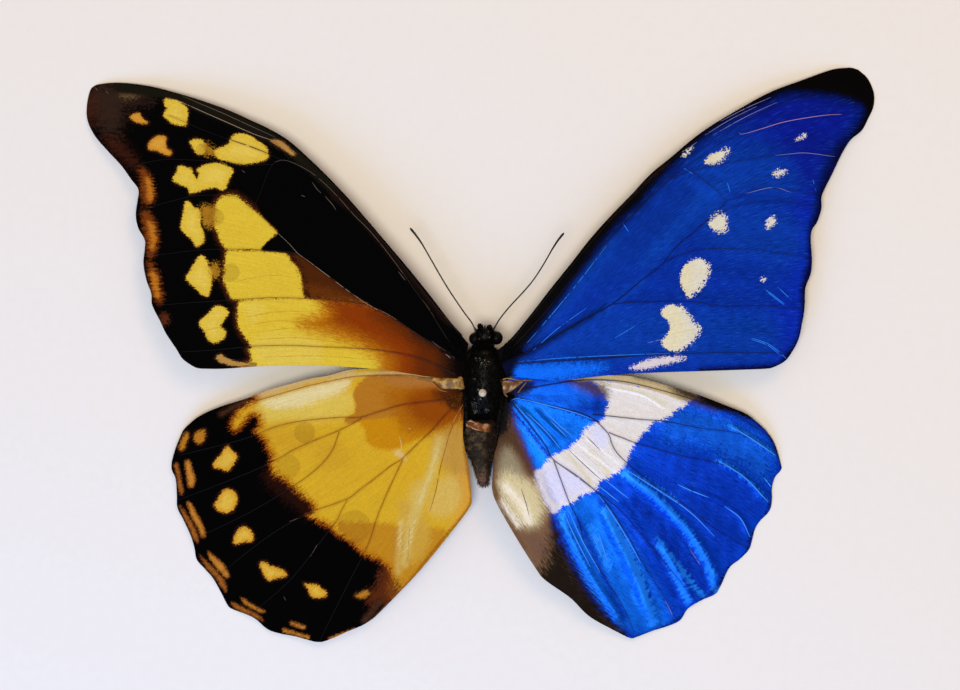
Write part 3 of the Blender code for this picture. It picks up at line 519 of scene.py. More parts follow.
            [(795, 140.5), (798, 137.5), (802, 135), (805, 135), (803, 138.5), (798, 141)],
            [(774, 177), (772, 175), (776, 171), (780, 170.5), (786, 172), (782, 175), (778, 177.5)],
            [(766, 229), (765, 225), (767, 220), (770, 217), (773.5, 218), (774, 223), (770, 227.5)],
            [(760, 280), (761.5, 278), (764, 279), (761.5, 281)],
            [(681, 156), (686, 151), (691, 148), (689, 152), (684, 157)]]),
        Mark("cream_rear", "#ddd4d4", 0.4, 0.3, 0.95, fray=0.25, patches=[
            [(629, 368), (636, 364), (646, 360), (658, 357.5), (672, 356.5), (684, 357), (680, 360),
             (668, 363), (656, 366), (642, 369)]]),
    ],
    "hindwing_right": [
        Mark("base_azure", "#0a66dc", 2.0, 0.4, metal=0.6, fray=0.8, patches=[
            [(512, 400), (560, 404), (596, 418), (580, 436), (556, 452), (536, 476), (526, 452),
             (514, 424)]]),
        Mark("base_mottle", "#0646b4", 1.6, 1.3, 0.6, metal=0.6, fray=1.6, bars=1.0, patches=[
            [(522, 404), (556, 408), (588, 420), (576, 434), (554, 448), (540, 440), (528, 422)]]),
        Mark("base_blue", "#0950cc", 1.2, 0.7, metal=0.6, fray=0.9, bars=0.5, patches=[
            [(512, 399), (526, 386), (560, 380), (592, 386), (606, 406), (594, 416), (560, 404),
             (530, 400)]]),
        Mark("base_deep", "#052a9c", 2.6, 0.3, 0.9, metal=0.6, fray=0.8, patches=[
            [(588, 384), (602, 396), (604, 410), (594, 416), (572, 408), (590, 402)]]),
        Mark("root_shade", "#120e1c", 1.4, 0.25, 0.9, fray=0.6, patches=[
            [(504, 384), (524, 380), (535, 383), (531, 390), (520, 396), (504, 398)]]),
        Mark("rear_azure", "#0a5ad0", 3.0, 0.5, metal=0.6, fray=1.2, patches=[
            [(566, 506), (598, 494), (616, 524), (640, 560), (662, 600), (670, 626), (636, 634), (600, 606),
             (574, 556)]]),
        Mark("outer_deep", "#0734b8", 4.5, 0.6, 0.9, metal=0.6, fray=1.2, patches=[
            [(640, 470), (690, 452), (740, 470), (764, 500), (744, 540), (720, 560), (690, 520),
             (650, 490)]]),
        Mark("outer_azure", "#1466e4", 3.0, 1.4, 0.6, metal=0.6, fray=1.6, bars=0.8, patches=[
            [(660, 420), (690, 408), (720, 418), (750, 432), (768, 452), (766, 478), (740, 462), (700, 444),
             (670, 440)]]),
        # Painted shade: dark blue in the valleys between the pleats
        Mark("valley_painted_shade", "#04279a", 1.2, 0.2, 0.9, metal=0.6, fray=0.3, streaks=[
            ([(600, 500), (616, 528), (632, 560), (652, 600)], 1.0), ([(636, 500), (676, 548), (702, 590)],
              2.0),
            ([(578, 520), (592, 550), (610, 590), (624, 616)], 1.0), ([(624, 500), (650, 545), (676, 596)],
              0.7),
            ([(650, 508), (674, 530), (694, 556), (706, 586)], 0.9)]),
        # Painted highlights: bright azure on the pleats' ridges
        Mark("pleat_azure_highlight", "#1c7af4", 0.8, 0.2, 0.95, metal=0.35, fray=0.2, bars=0.55, streaks=[
            ([(622, 472), (650, 493), (668, 510), (687, 531), (702, 555), (712, 576), (716, 590)], 1.1),
            ([(659, 542), (668, 560), (678, 580), (688, 600)], 1.1), ([(672, 556), (690, 582), (704, 596)],
              0.7),
            ([(606, 512), (618, 534), (632, 562), (644, 592), (652, 622)], 1.5),
            ([(560, 515), (573, 547), (588, 578), (604, 604), (620, 628)], 1.3),
            ([(590, 526), (600, 548), (608, 566)], 0.9), ([(728, 425), (750, 438), (775, 455)], 0.3),
            ([(718, 460), (745, 478), (768, 502)], 0.35), ([(622, 467), (650, 484), (676, 500)], 0.3)]),
        Mark("vein_navy", "#0a1a84", 0.4, 0.15, 0.9, metal=0.4, fray=0.15, streaks=[
            ([(505, 402), (515, 414), (525, 425), (540, 444), (553, 460)], 0.45),
            ([(548, 406), (575, 413), (598, 422)], 0.3)]),
        Mark("band_white", "#e3e0dd", 0.5, 0.2, fray=0.45, patches=[
            [(592, 379), (610, 381), (640, 386), (660, 391), (675, 396), (685, 399), (687, 402), (682, 407),
             (675, 410), (671, 414), (665, 418), (658, 420), (652, 422), (648, 427), (643, 432), (638, 438),
             (634, 443), (631, 448), (628, 454), (626, 460), (623, 466), (619, 470), (612, 473), (606, 477),
             (598, 481), (596, 488), (590, 491), (583, 493), (578, 497), (573, 501), (562, 505), (557, 509),
             (551, 512), (547, 508), (543, 500), (539, 490), (536, 480), (538, 472), (543, 465), (548, 458),
             (555, 454), (560, 452), (568, 448), (574, 443), (580, 437), (583, 431), (587, 427), (593, 425),
             (600, 421), (604, 417), (605, 411), (608, 402), (604, 394), (598, 387)]]),
        Mark("band_lilac", "#dadaf2", 1.6, 0.2, fray=0.5, patches=[
            [(542, 475), (551, 464), (566, 468), (586, 483), (577, 494), (556, 503), (544, 498)],
            [(590, 428), (602, 426), (608, 438), (602, 448), (592, 440)]]),
        Mark("band_yellow", "#d9d2b2", 0.7, 0.1, 0.85, fray=0.4, streaks=[
            ([(590, 450), (602, 464), (608, 474)], 0.9), ([(568, 454), (580, 468), (590, 482)], 0.6),
            ([(600, 384), (640, 392), (664, 404)], 0.6), ([(582, 452), (596, 466)], 0.3)]),
        # Painted highlights: white lines on the pleats in the white band
        Mark("band_highlight", "#f3f4f8", 0.4, 0.1, 0.9, fray=0.2, streaks=[
            ([(578, 444), (596, 458), (614, 471)], 0.35), ([(586, 439), (604, 452), (618, 464)], 0.3),
            ([(572, 452), (588, 466), (600, 478)], 0.25), ([(606, 388), (640, 395), (662, 408)], 0.35)]),
        Mark("anal_brown", "#7c5c3e", 1.4, 0.2, fray=0.6,
             rims=(("#0a1860", -1.1, 1.8), ("#1c1234", -0.3, 1.2)), patches=[
            [(496, 396), (506, 404), (513, 430), (518, 440), (523, 455), (529, 465), (535, 480), (539, 490),
             (544, 500), (548, 512), (550, 525), (555, 540), (562, 555), (570, 570), (578, 585), (588, 600),
             (598, 612), (610, 625), (620, 634), (612, 650), (560, 620), (480, 520), (480, 430)]]),
        Mark("anal_grey", "#93886c", 2.4, 0.2, 0.9, fray=0.8, patches=[
            [(497, 456), (502, 440), (510, 440), (518, 456), (524, 474), (512, 478), (500, 474)]]),
        Mark("anal_cream", "#d6c898", 2.6, 0.2, 0.97, fray=0.9, patches=[
            [(498, 482), (507, 471), (520, 476), (532, 482), (541, 496), (543, 512), (535, 526), (520, 524),
             (506, 506)]]),
        Mark("band_fade", "#d9d3da", 0.9, 0.2, 0.95, fray=0.4, streaks=[
            ([(538, 473), (542, 486), (547, 498), (553, 508)], 1.2)]),
        Mark("anal_red", "#4c2c1e", 1.8, 0.2, 0.9, fray=0.8, patches=[
            [(511, 424), (519, 440), (528, 458), (533, 471), (529, 474), (519, 458), (511, 444)]]),
        # Painted highlights: bright streaks on the folds of the anal area
        Mark("anal_highlight", "#f4ecd6", 1.5, 0.15, 0.85, fray=0.5, streaks=[
            ([(505, 486), (515, 496), (524, 508), (528, 520)], 1.2), ([(502, 502), (510, 513), (518, 524)],
              0.9)]),
        Mark("anal_rim", "#634224", 0.9, 0.1, 0.88, streaks=[
            ([(492, 446), (492.5, 478), (496, 494)], 0.8), ([(496, 496), (510, 522), (525, 547)], 0.35)]),
        Mark("anal_root", "#4a3220", 2.6, 0.2, 0.95, fray=0.8, patches=[
            [(486, 400), (504, 404), (514, 432), (520, 446), (512, 446), (502, 450), (492, 470),
             (484, 450)]]),
        Mark("anal_rose", "#6e5040", 4.0, 0.2, 0.85, fray=1.0, patches=[
            [(520, 534), (536, 532), (550, 536), (548, 556), (536, 562), (526, 548)]]),
        Mark("anal_soot", "#0c0806", 3.2, 0.2, 0.97, fray=1.4, patches=[
            [(553, 520), (565, 547), (583, 580), (609, 616), (630, 644), (596, 680), (500, 640), (514, 590),
             (540, 568), (549, 546)]]),
        Mark("root_black", "#050408", 1.5, 0.3, fray=0.6, patches=[
            [(494, 388), (511, 387), (516, 396), (513, 404), (510, 420), (506, 432), (494, 432)]]),
        Mark("costa_tan", "#cfbc8e", 0.35, 0.1, fray=0.15, patches=[
            [(560, 368), (600, 367), (640, 372), (666, 380), (696, 390), (688, 401), (660, 393), (640, 387),
             (600, 380.5), (575, 381)]]),
        Mark("costa_brown", "#3a281c", 2.2, 0.15, patches=[
            [(664, 381), (700, 392), (718, 401), (716, 409), (700, 405), (678, 396)]],
            streaks=[([(636, 376), (660, 382), (690, 392)], 0.4)]),
        Mark("corner_brown", "#46322a", 1.8, 0.3, 0.85, fray=0.5, patches=[
            [(564, 378), (588, 380), (606, 387), (607, 397), (594, 394), (574, 386)]]),
        Mark("border_black", "#090606", 0.8, 0.2, fray=0.3, patches=[
            [(700, 394), (704, 403), (712, 407), (720, 410), (735, 414), (745, 418), (755, 423), (764, 431),
             (771, 442), (778, 456), (790, 440), (740, 390)]],
            streaks=[([(700, 402), (740, 414), (762, 428), (774, 446), (781, 468), (774, 480), (771, 500),
                       (762, 520), (752, 534), (744, 556), (728, 568), (718, 586), (704, 598), (694, 607),
                       (676, 620), (662, 627), (645, 634), (632, 638)], 0.3)]),
    ],
}

# Eye-spots of the underside, as (place in the photograph, radius in millimetres)
# They show through the left wings
EYESPOTS = {
    "forewing_left": [((217, 218), 1.4), ((232, 273), 1.5), ((203, 150), 1.0)],
    "hindwing_left": [((305.5, 432), 1.75), ((289, 466), 2.0), ((355, 526), 2.75)],
    "forewing_right": [((744, 224), 1.5), ((733, 272), 1.9), ((762, 150), 1.3)],
    "hindwing_right": [((660, 430), 1.9), ((676, 468), 2.1), ((612, 528), 2.9), ((640, 486), 1.6)],
}

# Fine raised creases and veins: name, colour, radius in millimetres, share that shows, and routes; some
# groups are painted glints, as said at each
CREASES = {
    "forewing_left": [
        # Painted glints: pale lines along the costa where light catches the veins
        ("tan", "#a18a74", 0.055, 1.0, [
            [(166, 99.5), (175, 100), (185, 104), (205, 113), (230, 124), (255, 135), (275, 142),
             (292, 150)]]),
        # Painted glints along the subcosta and on short stretches of veins
        ("painted_glint", "#64544c", 0.06, 0.95, [
            [(276, 163), (283, 161), (292, 163), (310, 172), (325, 184), (340, 199), (355, 216), (370, 231),
             (385, 249), (400, 269), (415, 290), (430, 310), (445, 335), (455, 350)],
            [(184, 97), (205, 106), (226, 115), (252, 127), (276, 138)], [(399, 272), (402, 276), (406, 281)],
            [(313, 183), (318, 190), (322, 194)], [(326, 197), (333, 205), (337, 211)],
            [(302, 196), (306, 197.5)],
            [(243, 171), (246, 173.5)], [(106, 91), (109, 94)], [(95, 87), (98, 91)],
            [(432, 341), (440, 347), (452, 354)], [(447, 350), (455, 358)]]),
        # Painted glint along the cubital vein, broken into stretches
        ("patchy", "#a08a78", 0.06, 0.75, [
            [(279, 234), (290, 244), (299, 254), (310, 262), (330, 277), (350, 292), (370, 305.5),
             (390, 315.5), (410, 329), (430, 342), (448, 353)], [(446, 354), (451, 358)]]),
        ("umber", "#4a2a10", 0.08, 0.9, [[(230, 140), (240, 143.5), (250, 147), (262, 151.5), (271, 155.5)]]),
        ("amber", "#c8a534", 0.05, 0.6, [
            [(244, 318), (280, 312), (314, 312)], [(246, 326), (280, 321), (306, 324)],
            [(250, 334), (300, 328), (336, 336)], [(262, 357), (320, 356), (380, 360)],
            [(256, 340), (300, 338), (350, 344)], [(236, 282), (270, 276), (296, 278)],
            [(204, 331), (224, 327)]]),
    ],
    "hindwing_left": [
        ("brown", "#94601f", 0.065, 0.85, [
            [(448, 440), (441, 465), (436, 490), (430, 511)], [(461, 410), (452, 428), (446, 444)]]),
        # Painted highlights on the folds: a streak, a spot and a dot
        ("pale", "#dcc492", 0.065, 0.85, [
            [(400, 436), (402, 446), (401, 453)], [(398, 454), (404, 452)], [(409, 427.5), (411, 428.5)]]),
        # Painted highlights on ridges: along the hinge plate's lower edge and on the folds
        ("ridge_glint", "#c08a4a", 0.06, 0.75, [
            [(424, 376), (432, 382), (440, 389.5), (447, 391.5)],
            [(463, 404), (454, 420), (448, 436)], [(461, 412), (456, 440)], [(410, 526), (408, 560)],
            [(396, 526), (392, 566)]]),
        ("dust", "#6a5048", 0.04, 0.7, [
            [(320, 540), (311, 556)], [(300, 517), (290, 521)], [(284, 596), (286, 600)]]),
    ],
    "forewing_right": [
        ("rosy", "#b88fc0", 0.06, 1.0, [
            [(738, 133.5), (742, 134.8), (761, 129.4), (780, 123.4), (800, 119.3), (824, 115.7),
             (841, 114.6)]]),
        ("silver", "#8f8fce", 0.045, 0.85, [
            [(774, 156), (790, 154.5), (805, 153.5), (834, 157)], [(720, 122), (745, 109), (770, 98)],
            [(704, 136), (730, 120), (756, 107)], [(712, 136), (744, 118), (776, 103)],
            [(684, 152), (696, 143)],
            [(646, 343), (662, 339)], [(745, 194), (772, 188), (790, 193)]]),
        # Painted highlights: bright azure lines on folds and veins
        ("azure_glint", "#2d8cff", 0.065, 0.75, [
            [(726, 183), (729, 193)], [(760, 287), (770, 294), (783, 304)], [(776, 287), (790, 300)],
            [(746, 337), (765, 343), (778, 352), (786, 360)], [(812, 180), (815, 192)],
            [(683, 169), (692, 175)],
            [(614, 338), (634, 326)], [(622, 224), (628, 233)],
            [(524, 346), (545, 322), (575, 286), (606, 246)],
            [(533, 350), (558, 328), (586, 308)], [(517, 362), (560, 358), (620, 355), (680, 353)],
            [(761, 288), (772, 297), (784, 306)], [(748, 339), (766, 345), (780, 356)]]),
        ("navy", "#020f48", 0.07, 0.95, [
            [(518, 357), (560, 333), (588, 317), (611, 304.6), (640, 281), (660, 266), (676, 246),
             (695, 231)],
            [(516, 364), (560, 361), (600, 358.5), (649, 355)]]),
    ],
    "hindwing_right": [
        # Painted highlights: bright azure lines along pleats and veins
        ("azure_glint", "#3f97ff", 0.11, 0.95, [
            [(728, 425), (750, 438), (775, 455)], [(718, 460), (745, 478), (768, 502)],
            [(677, 484), (690, 490), (708, 497)], [(724, 506), (740, 518), (750, 537)],
            [(622, 467), (660, 491), (690, 512), (714, 536)], [(764, 478), (772, 488)],
            [(510, 400), (520, 398.5), (550, 405.5), (575, 412.5), (592, 419)],
            [(515, 404), (530, 421), (548, 445)], [(515, 422), (532, 440), (550, 462)],
            [(526, 412), (545, 430), (560, 448)],
            [(538, 404), (556, 422), (572, 436)], [(550, 420), (566, 436)], [(598, 485), (618, 501)],
            [(603, 478), (628, 498)], [(562, 508), (574, 535), (590, 566)],
            [(598, 494), (612, 514), (628, 540), (640, 562)], [(566, 504), (582, 540), (600, 572)],
            [(592, 534), (597, 545), (601, 556)], [(598, 532), (603, 548), (607, 560)]]),
        # Painted highlights: white lines on the pleats in the white band
        ("white", "#f4f3fb", 0.085, 1.0, [
            [(574, 446), (596, 466), (608, 480)], [(580, 440), (604, 462), (616, 474)],
            [(604, 386), (640, 394), (664, 408)], [(604, 436), (612, 452), (624, 466)]]),
        ("purple", "#54466e", 0.06, 0.95, [
            [(568, 449), (590, 470), (604, 482)], [(586, 436), (600, 450)],
            [(553, 460), (575, 475), (597, 492)],
            [(521, 488), (525, 500), (529, 515)]]),
        # Painted glints: lightened lines on fold ridges
        ("painted_glint", "#7c7ab0", 0.06, 0.8, [
            [(665, 600), (670, 610), (674, 620)], [(689, 548), (700, 565)]]),
    ],
}

# Folds that stand up from the membrane, as (route, height, width) with the last two in millimetres
FOLDS = {
    "forewing_left": [([(250, 330), (320, 324), (400, 340), (450, 366)], 0.1, 0.9),
                      ([(262, 356), (330, 356), (400, 362)], 0.1, 0.7)],
    "hindwing_left": [([(448, 436), (438, 462), (427, 490), (417, 520), (408, 548), (400, 578)], 0.3, 0.9),
                      ([(330, 398), (300, 404), (262, 414)], 0.12, 0.9),
                      ([(456, 420), (450, 450), (452, 490)], 0.2, 0.8)],
    "forewing_right": [([(520, 352), (554, 318.5), (582, 280), (608, 243)], 0.15, 0.9),
                       ([(620, 338), (700, 336), (782, 334)], 0.1, 1.3),
                       ([(640, 284), (700, 276), (780, 280)], 0.1, 1.3),
                       ([(510, 370), (560, 370), (620, 364)], 0.15, 1.2)],
    "hindwing_right": [([(620, 470), (650, 492), (670, 512), (690, 532), (705, 555), (715, 575), (718, 590)],
                        0.4, 0.9),
                       ([(659, 542), (672, 562), (684, 582), (694, 600)], 0.3, 0.7),
                       ([(600, 505), (612, 530), (628, 562), (642, 594), (652, 622)], 0.4, 0.9),
                       ([(560, 515), (575, 547), (592, 578), (608, 602), (624, 630)], 0.35, 0.8),
                       ([(728, 425), (750, 438), (775, 455)], 0.2, 0.5),
                       ([(718, 460), (745, 478), (768, 502)], 0.2, 0.5),
                       ([(677, 484), (690, 490), (720, 501), (740, 518), (750, 537)], 0.15, 0.5),
                       ([(516, 406), (535, 424), (556, 446)], 0.15, 0.45),
                       ([(530, 406), (548, 424), (566, 440)], 0.15, 0.45)],
}


def linear(hex_colour):
    """sRGB hex to the linear colour that a shader takes."""
    values = [int(hex_colour[i:i + 2], 16) / 255 for i in (1, 3, 5)]
    curve = [c / 12.92 if c <= 0.04045 else ((c + 0.055) / 1.055) ** 2.4 for c in values]
    return (*curve, 1.0)


# Curves through given points

def traced(points):
    """Places in the photograph to millimetres from the pin."""
    return (np.array(points, float) - PIN_IN_PHOTO) * (1, -1) / PHOTO_PIXELS_PER_MM


def smooth(points, closed=False, steps=8):
    """A smooth curve through the points."""
    p = np.array(points, float)
    if closed:
        p = np.vstack([p[-1:], p, p[:2]])
    else:
        p = np.vstack([2 * p[0] - p[1], p, 2 * p[-1] - p[-2]])
    t = np.linspace(0, 1, steps, endpoint=False)[:, None, None]
    before, start, stop, after = p[:-3], p[1:-2], p[2:-1], p[3:]
    curve = 0.5 * (2 * start + (stop - before) * t + (2 * before - 5 * start + 4 * stop - after) * t ** 2
                   + (3 * start - before - 3 * stop + after) * t ** 3)
    curve = curve.transpose(1, 0, 2).reshape(-1, p.shape[1])
    return curve if closed else np.vstack([curve, p[-2]])


def spaced(path, count):
    """count points at even distances along a path."""
    along = np.concatenate([[0], np.cumsum(np.linalg.norm(np.diff(path, axis=0), axis=1))])
    want = np.linspace(0, along[-1], count)
    return np.column_stack([np.interp(want, along, path[:, k]) for k in range(path.shape[1])])


def length_of(path):
    return np.linalg.norm(np.diff(path, axis=0), axis=1).sum()


def to_segments(places, path):
    """Distance from each place to each stretch of a path."""
    start, stop = path[:-1], path[1:]
    run = stop - start
    t = ((places[:, None] - start) * run).sum(2) / np.maximum((run ** 2).sum(1), 1e-12)
    nearest = start + run * t.clip(0, 1)[..., None]
    return np.linalg.norm(places[:, None] - nearest, axis=2)


def near(places, path, reach):
    """Which places lie in the path's box, widened by reach."""
    return ((places >= path.min(0) - reach) & (places <= path.max(0) + reach)).all(1)


def inside_mark(places, outline, reach=4.0):
    """Distance in millimetres to the edge of a closed mark, positive inside it, and -reach far away."""
    path = smooth(outline, closed=True, steps=5)
    path = np.vstack([path, path[:1]])
    result = np.full(len(places), -reach)
    chosen = np.flatnonzero(near(places, path, reach))
    for part in np.array_split(chosen, max(1, len(chosen) // BATCH)):
        spots = places[part]
        distance = to_segments(spots, path).min(1)
        (x0, y0), (x1, y1) = path[:-1].T, path[1:].T
        x, y = spots[:, :1], spots[:, 1:]
        with np.errstate(divide="ignore", invalid="ignore"):
            crossing = ((y0 > y) != (y1 > y)) & (x < (x1 - x0) * (y - y0) / (y1 - y0) + x0)
        inside = crossing.sum(1) % 2 == 1
        result[part] = np.maximum(np.where(inside, distance, -distance), -reach)
    return result


def to_line(places, route, reach=4.0):
    """Distance in millimetres to a traced line, up to reach."""
    path = smooth(route, steps=4)
    result = np.full(len(places), reach)
    chosen = np.flatnonzero(near(places, path, reach))
    for part in np.array_split(chosen, max(1, len(chosen) // BATCH)):
        result[part] = np.minimum(to_segments(places[part], path).min(1), reach)
    return result


# Shader nodes

def add_node(tree, kind, inputs=(), **settings):
    """A shader node with its settings; inputs pairs a socket with a value or the output that feeds it."""
    made = tree.nodes.new("ShaderNode" + kind)
    for name, value in settings.items():
        setattr(made, name, value)
    for socket, value in dict(inputs).items():
        if isinstance(value, bpy.types.NodeSocket):
            tree.links.new(value, made.inputs[socket])
        else:
            made.inputs[socket].default_value = value
    return made


# Making pieces

def deselect():
    if bpy.context.mode != "OBJECT":
        bpy.ops.object.mode_set(mode="OBJECT")
    bpy.ops.object.select_all(action="DESELECT")


def pick(item):
    deselect()
    item.select_set(True)
    bpy.context.view_layer.objects.active = item
    return item


def apply_modifier(item, kind, **settings):
    """Add a modifier and apply it."""
    pick(item)
    modifier = item.modifiers.new(kind.title(), kind)
    for name, value in settings.items():
        setattr(modifier, name, value)
    bpy.ops.object.modifier_apply(modifier=modifier.name)


def vertices_of(item):
    """Vertex places in millimetres."""
    places = np.empty(len(item.data.vertices) * 3)
    item.data.vertices.foreach_get("co", places)
    return places.reshape(-1, 3) / MM


def set_vertices(item, places):
    item.data.vertices.foreach_set("co", (places * MM).ravel())
    item.data.update()


def set_attribute(item, name, values):
    layer = item.data.attributes.new(name, "FLOAT", "POINT")
    layer.data.foreach_set("value", np.asarray(values, np.float32))


def finish_piece(item, materials, replaced=()):
    """Give a piece its materials, hang it on the root body, and hide the solids that it replaces."""
    item.data.materials.clear()
    for made in materials:
        item.data.materials.append(made)
    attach(item, "root")
    if replaced:
        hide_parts(*replaced)
    return item


# Wings

def wing_plan(wing):
    """Flat points between the wing's four edges (a Coons patch), as columns x rows x 2."""
    columns, rows = wing["cells"]
    front, rear = (spaced(smooth(wing[edge], steps=16), columns + 1) for edge in ("front", "rear"))
    margin = spaced(smooth(wing["margin"], steps=16), rows + 1)
    u = np.linspace(0, 1, columns + 1)[:, None, None]
    v = np.linspace(0, 1, rows + 1)[None, :, None]
    root = front[0] + (rear[0] - front[0]) * v
    across = front[:, None] * (1 - v) + rear[:, None] * v
    along = root * (1 - u) + margin[None] * u
    corners = (front[0] * (1 - v) + rear[0] * v) * (1 - u) + (margin[0] * (1 - v) + margin[-1] * v) * u
    return across + along - corners


def soft_noise(places, size, seed):
    """Smooth noise from about -1 to 1, with lumps of the given size in millimetres."""
    rng = np.random.default_rng(seed)
    total = np.zeros(len(places))
    waves = 7
    for wave in range(waves):
        heading = rng.uniform(0, math.tau)
        pitch = size * rng.uniform(0.7, 1.6)
        phase = rng.uniform(0, math.tau)
        along = places[:, 0] * math.cos(heading) + places[:, 1] * math.sin(heading)
        total += np.sin(along * math.tau / pitch + phase)
    return total / (waves / 2)


def vein_distance(places, name):
    """Distance from each place to the wing's nearest vein, in millimetres, up to VEIN_REACH."""
    distance = np.full(len(places), VEIN_REACH)
    for route in VEINS[name]:
        distance = np.minimum(distance, to_line(places, traced(route), VEIN_REACH))
    return distance


def mark_field(places, mark):
    """How far inside the mark each place is, in millimetres, negative outside it."""
    rims = [mark.edge * blur / 2 - depth for tint, depth, blur in mark.rims]
    reach = max([mark.edge / 2] + rims) + mark.speckle + mark.fray + mark.bars + 0.6
    field = np.full(len(places), -reach)
    for outline in mark.patches:
        field = np.maximum(field, inside_mark(places, traced(outline), reach))
    for route, width in mark.streaks:
        distance = to_line(places, traced(route), reach + width / 2)
        field = np.maximum(field, width / 2 - distance)
    return field


def eyespot_field(places, name):
    """Distance from the nearest eye-spot's centre as a share of its radius, up to 2."""
    field = np.full(len(places), 2.0)
    for centre, radius in EYESPOTS[name]:
        field = np.minimum(field, np.linalg.norm(places - traced([centre])[0], axis=1) / radius)
    return field


def wing_relief(places, name):
    """Height of the membrane over its smooth droop: it sags between veins and stands up in folds."""
    seed = 11 + len(name)
    sag = np.clip(vein_distance(places, name) / SAG_REACH, 0, 1)
    relief = -MEMBRANE_SAG * sag * sag * (3 - 2 * sag)
    relief += 0.06 * soft_noise(places, 9.0, seed) + 0.02 * soft_noise(places, 2.6, seed + 1)
    for route, height, width in FOLDS[name]:
        path = traced(route)
        distance = to_line(places, path, 3 * width)
        ends = np.minimum(np.linalg.norm(places - path[0], axis=1), np.linalg.norm(places - path[-1], axis=1))
        relief += height * np.exp(-(distance / width) ** 2) * np.clip(ends / (3 * width), 0.15, 1)
    return relief


def make_wing(name, upper, under):
    """The wing's membrane: a grid laid between its four edges, drooped, folded and made a sheet."""
    wing = WINGS[name]
    columns, rows = wing["cells"]
    deselect()
    bpy.ops.mesh.primitive_grid_add(x_subdivisions=columns, y_subdivisions=rows, size=2)
    item = bpy.context.object
    item.name = item.data.name = f"{name}_membrane"
    grid = np.empty(len(item.data.vertices) * 3)
    item.data.vertices.foreach_get("co", grid)
    share = (grid.reshape(-1, 3)[:, :2] + 1) / 2
    i = np.rint(share[:, 0] * columns).astype(int)
    j = np.rint(share[:, 1] * rows).astype(int)
    flat = wing_plan(wing)[i, j]
    reach = np.linalg.norm(flat - wing["hinge"][:2], axis=1)
    droop = wing["hinge"][2] * (1 - (reach / reach.max()) ** DROOP_POWER) + SOLID_MEMBRANE / 2
    heights = np.maximum(droop + wing_relief(flat, name), 0.7 * MEMBRANE)
    set_vertices(item, np.column_stack([flat, heights]))
    for mark in MARKS[name]:
        set_attribute(item, mark.name, mark_field(flat, mark))
    set_attribute(item, "eyespot", eyespot_field(flat, name))
    set_attribute(item, "vein", vein_distance(flat, name))
    if item.data.polygons[0].normal.z < 0:
        item.data.flip_normals()
    surface = surface_of(item)
    finish_piece(item, [upper, under], [name])
    apply_modifier(item, "SOLIDIFY", thickness=MEMBRANE * MM, offset=0.0, material_offset=1,
                   material_offset_rim=0)
    bpy.ops.object.shade_smooth_by_angle(angle=math.radians(50))
    return surface


def surface_of(item):
    """A piece's faces as they are now, for rays to meet."""
    return BVHTree.FromPolygons([v.co for v in item.data.vertices], [p.vertices for p in item.data.polygons])


def on_surface(surface, point):
    """The height of the surface at a flat point, or None beyond its edge, in millimetres."""
    hit = surface.ray_cast(Vector((point[0], point[1], RAY_START)) * MM, Vector((0, 0, -1)))
    return None if hit[0] is None else hit[0].z / MM


def lifted(surface, path, radii):
    """Rows of (x, y, z, radius) for a flat path laid on the surface, without the parts beyond its edge."""
    rows = [(x, y, on_surface(surface, (x, y)), radius) for (x, y), radius in zip(path, radii)]
    return [row for row in rows if row[2] is not None]


def ride_lines(name, title, lines, made):
    """Thin rods on a wing, with its marks, so that they take the wing's colours."""
    item = tube(title, [rows for rows in lines if len(rows) > 2], 6)
    places = vertices_of(item)[:, :2]
    for mark in MARKS[name]:
        set_attribute(item, mark.name, mark_field(places, mark))
    return finish_piece(item, [made])


def make_veins(name, surface, made):
    """Round veins, half sunk in the membrane, each tapering from the body to its end."""
    body = np.array(WINGS[name]["hinge"][:2])
    lines = []
    for route in VEINS[name]:
        path = smooth(traced(route), steps=6)
        path = spaced(path, int(length_of(path) / VEIN_STEP) + 2)
        away = np.clip(np.linalg.norm(path - body, axis=1) / VEIN_LENGTH, 0, 1)
        lines.append(lifted(surface, path, VEIN_RADII[0] + (VEIN_RADII[1] - VEIN_RADII[0]) * away))
    ride_lines(name, f"{name}_veins", lines, made)


def make_creases(name, surface):
    """Fine creases, thinning out at both ends."""
    for title, colour, radius, share, routes in CREASES[name]:
        lines = []
        for route in routes:
            path = smooth(traced(route), steps=6)
            path = spaced(path, int(length_of(path) / CREASE_STEP) + 3)
            taper = np.sin(np.linspace(0.04, 0.96, len(path)) * math.pi) ** 0.5
            rows = lifted(surface, path, radius * taper)
            lines.append([(x, y, z + MEMBRANE / 2 + 0.3 * r, r) for x, y, z, r in rows])
        made = patchy_crease(name, f"{name}_{title}_crease", colour, share)
        ride_lines(name, f"{name}_{title}_creases", lines, made)


def make_fringe(name, surface, made):
    """The short fringe of hair-scales along a wing's outer margin."""
    rng = np.random.default_rng(81)
    path = spaced(smooth(WINGS[name]["margin"], steps=12), FRINGE_COUNT)
    run = np.gradient(path, axis=0)
    out = unit(np.column_stack([run[:, 1], -run[:, 0]]))
    from_hinge = path[0] - WINGS[name]["hinge"][:2]
    if from_hinge @ out[0] < 0:
        out = -out
    roots = path - FRINGE_SET_IN * out
    rows = [(x, y, on_surface(surface, (x, y)), *away) for (x, y), away in zip(roots, out)]
    rows = np.array([row for row in rows if row[2] is not None])
    heading = np.column_stack([rows[:, 3:], np.zeros(len(rows))])
    grow_hair(f"{name}_fringe", rows[:, :3], heading, heading + rng.normal(0, 0.25, heading.shape),
              FRINGE_LENGTH, FRINGE_WIDTH, rng, made)


# Wing scales, which the materials draw this wide, in millimetres
SCALE_WIDTH = 0.19
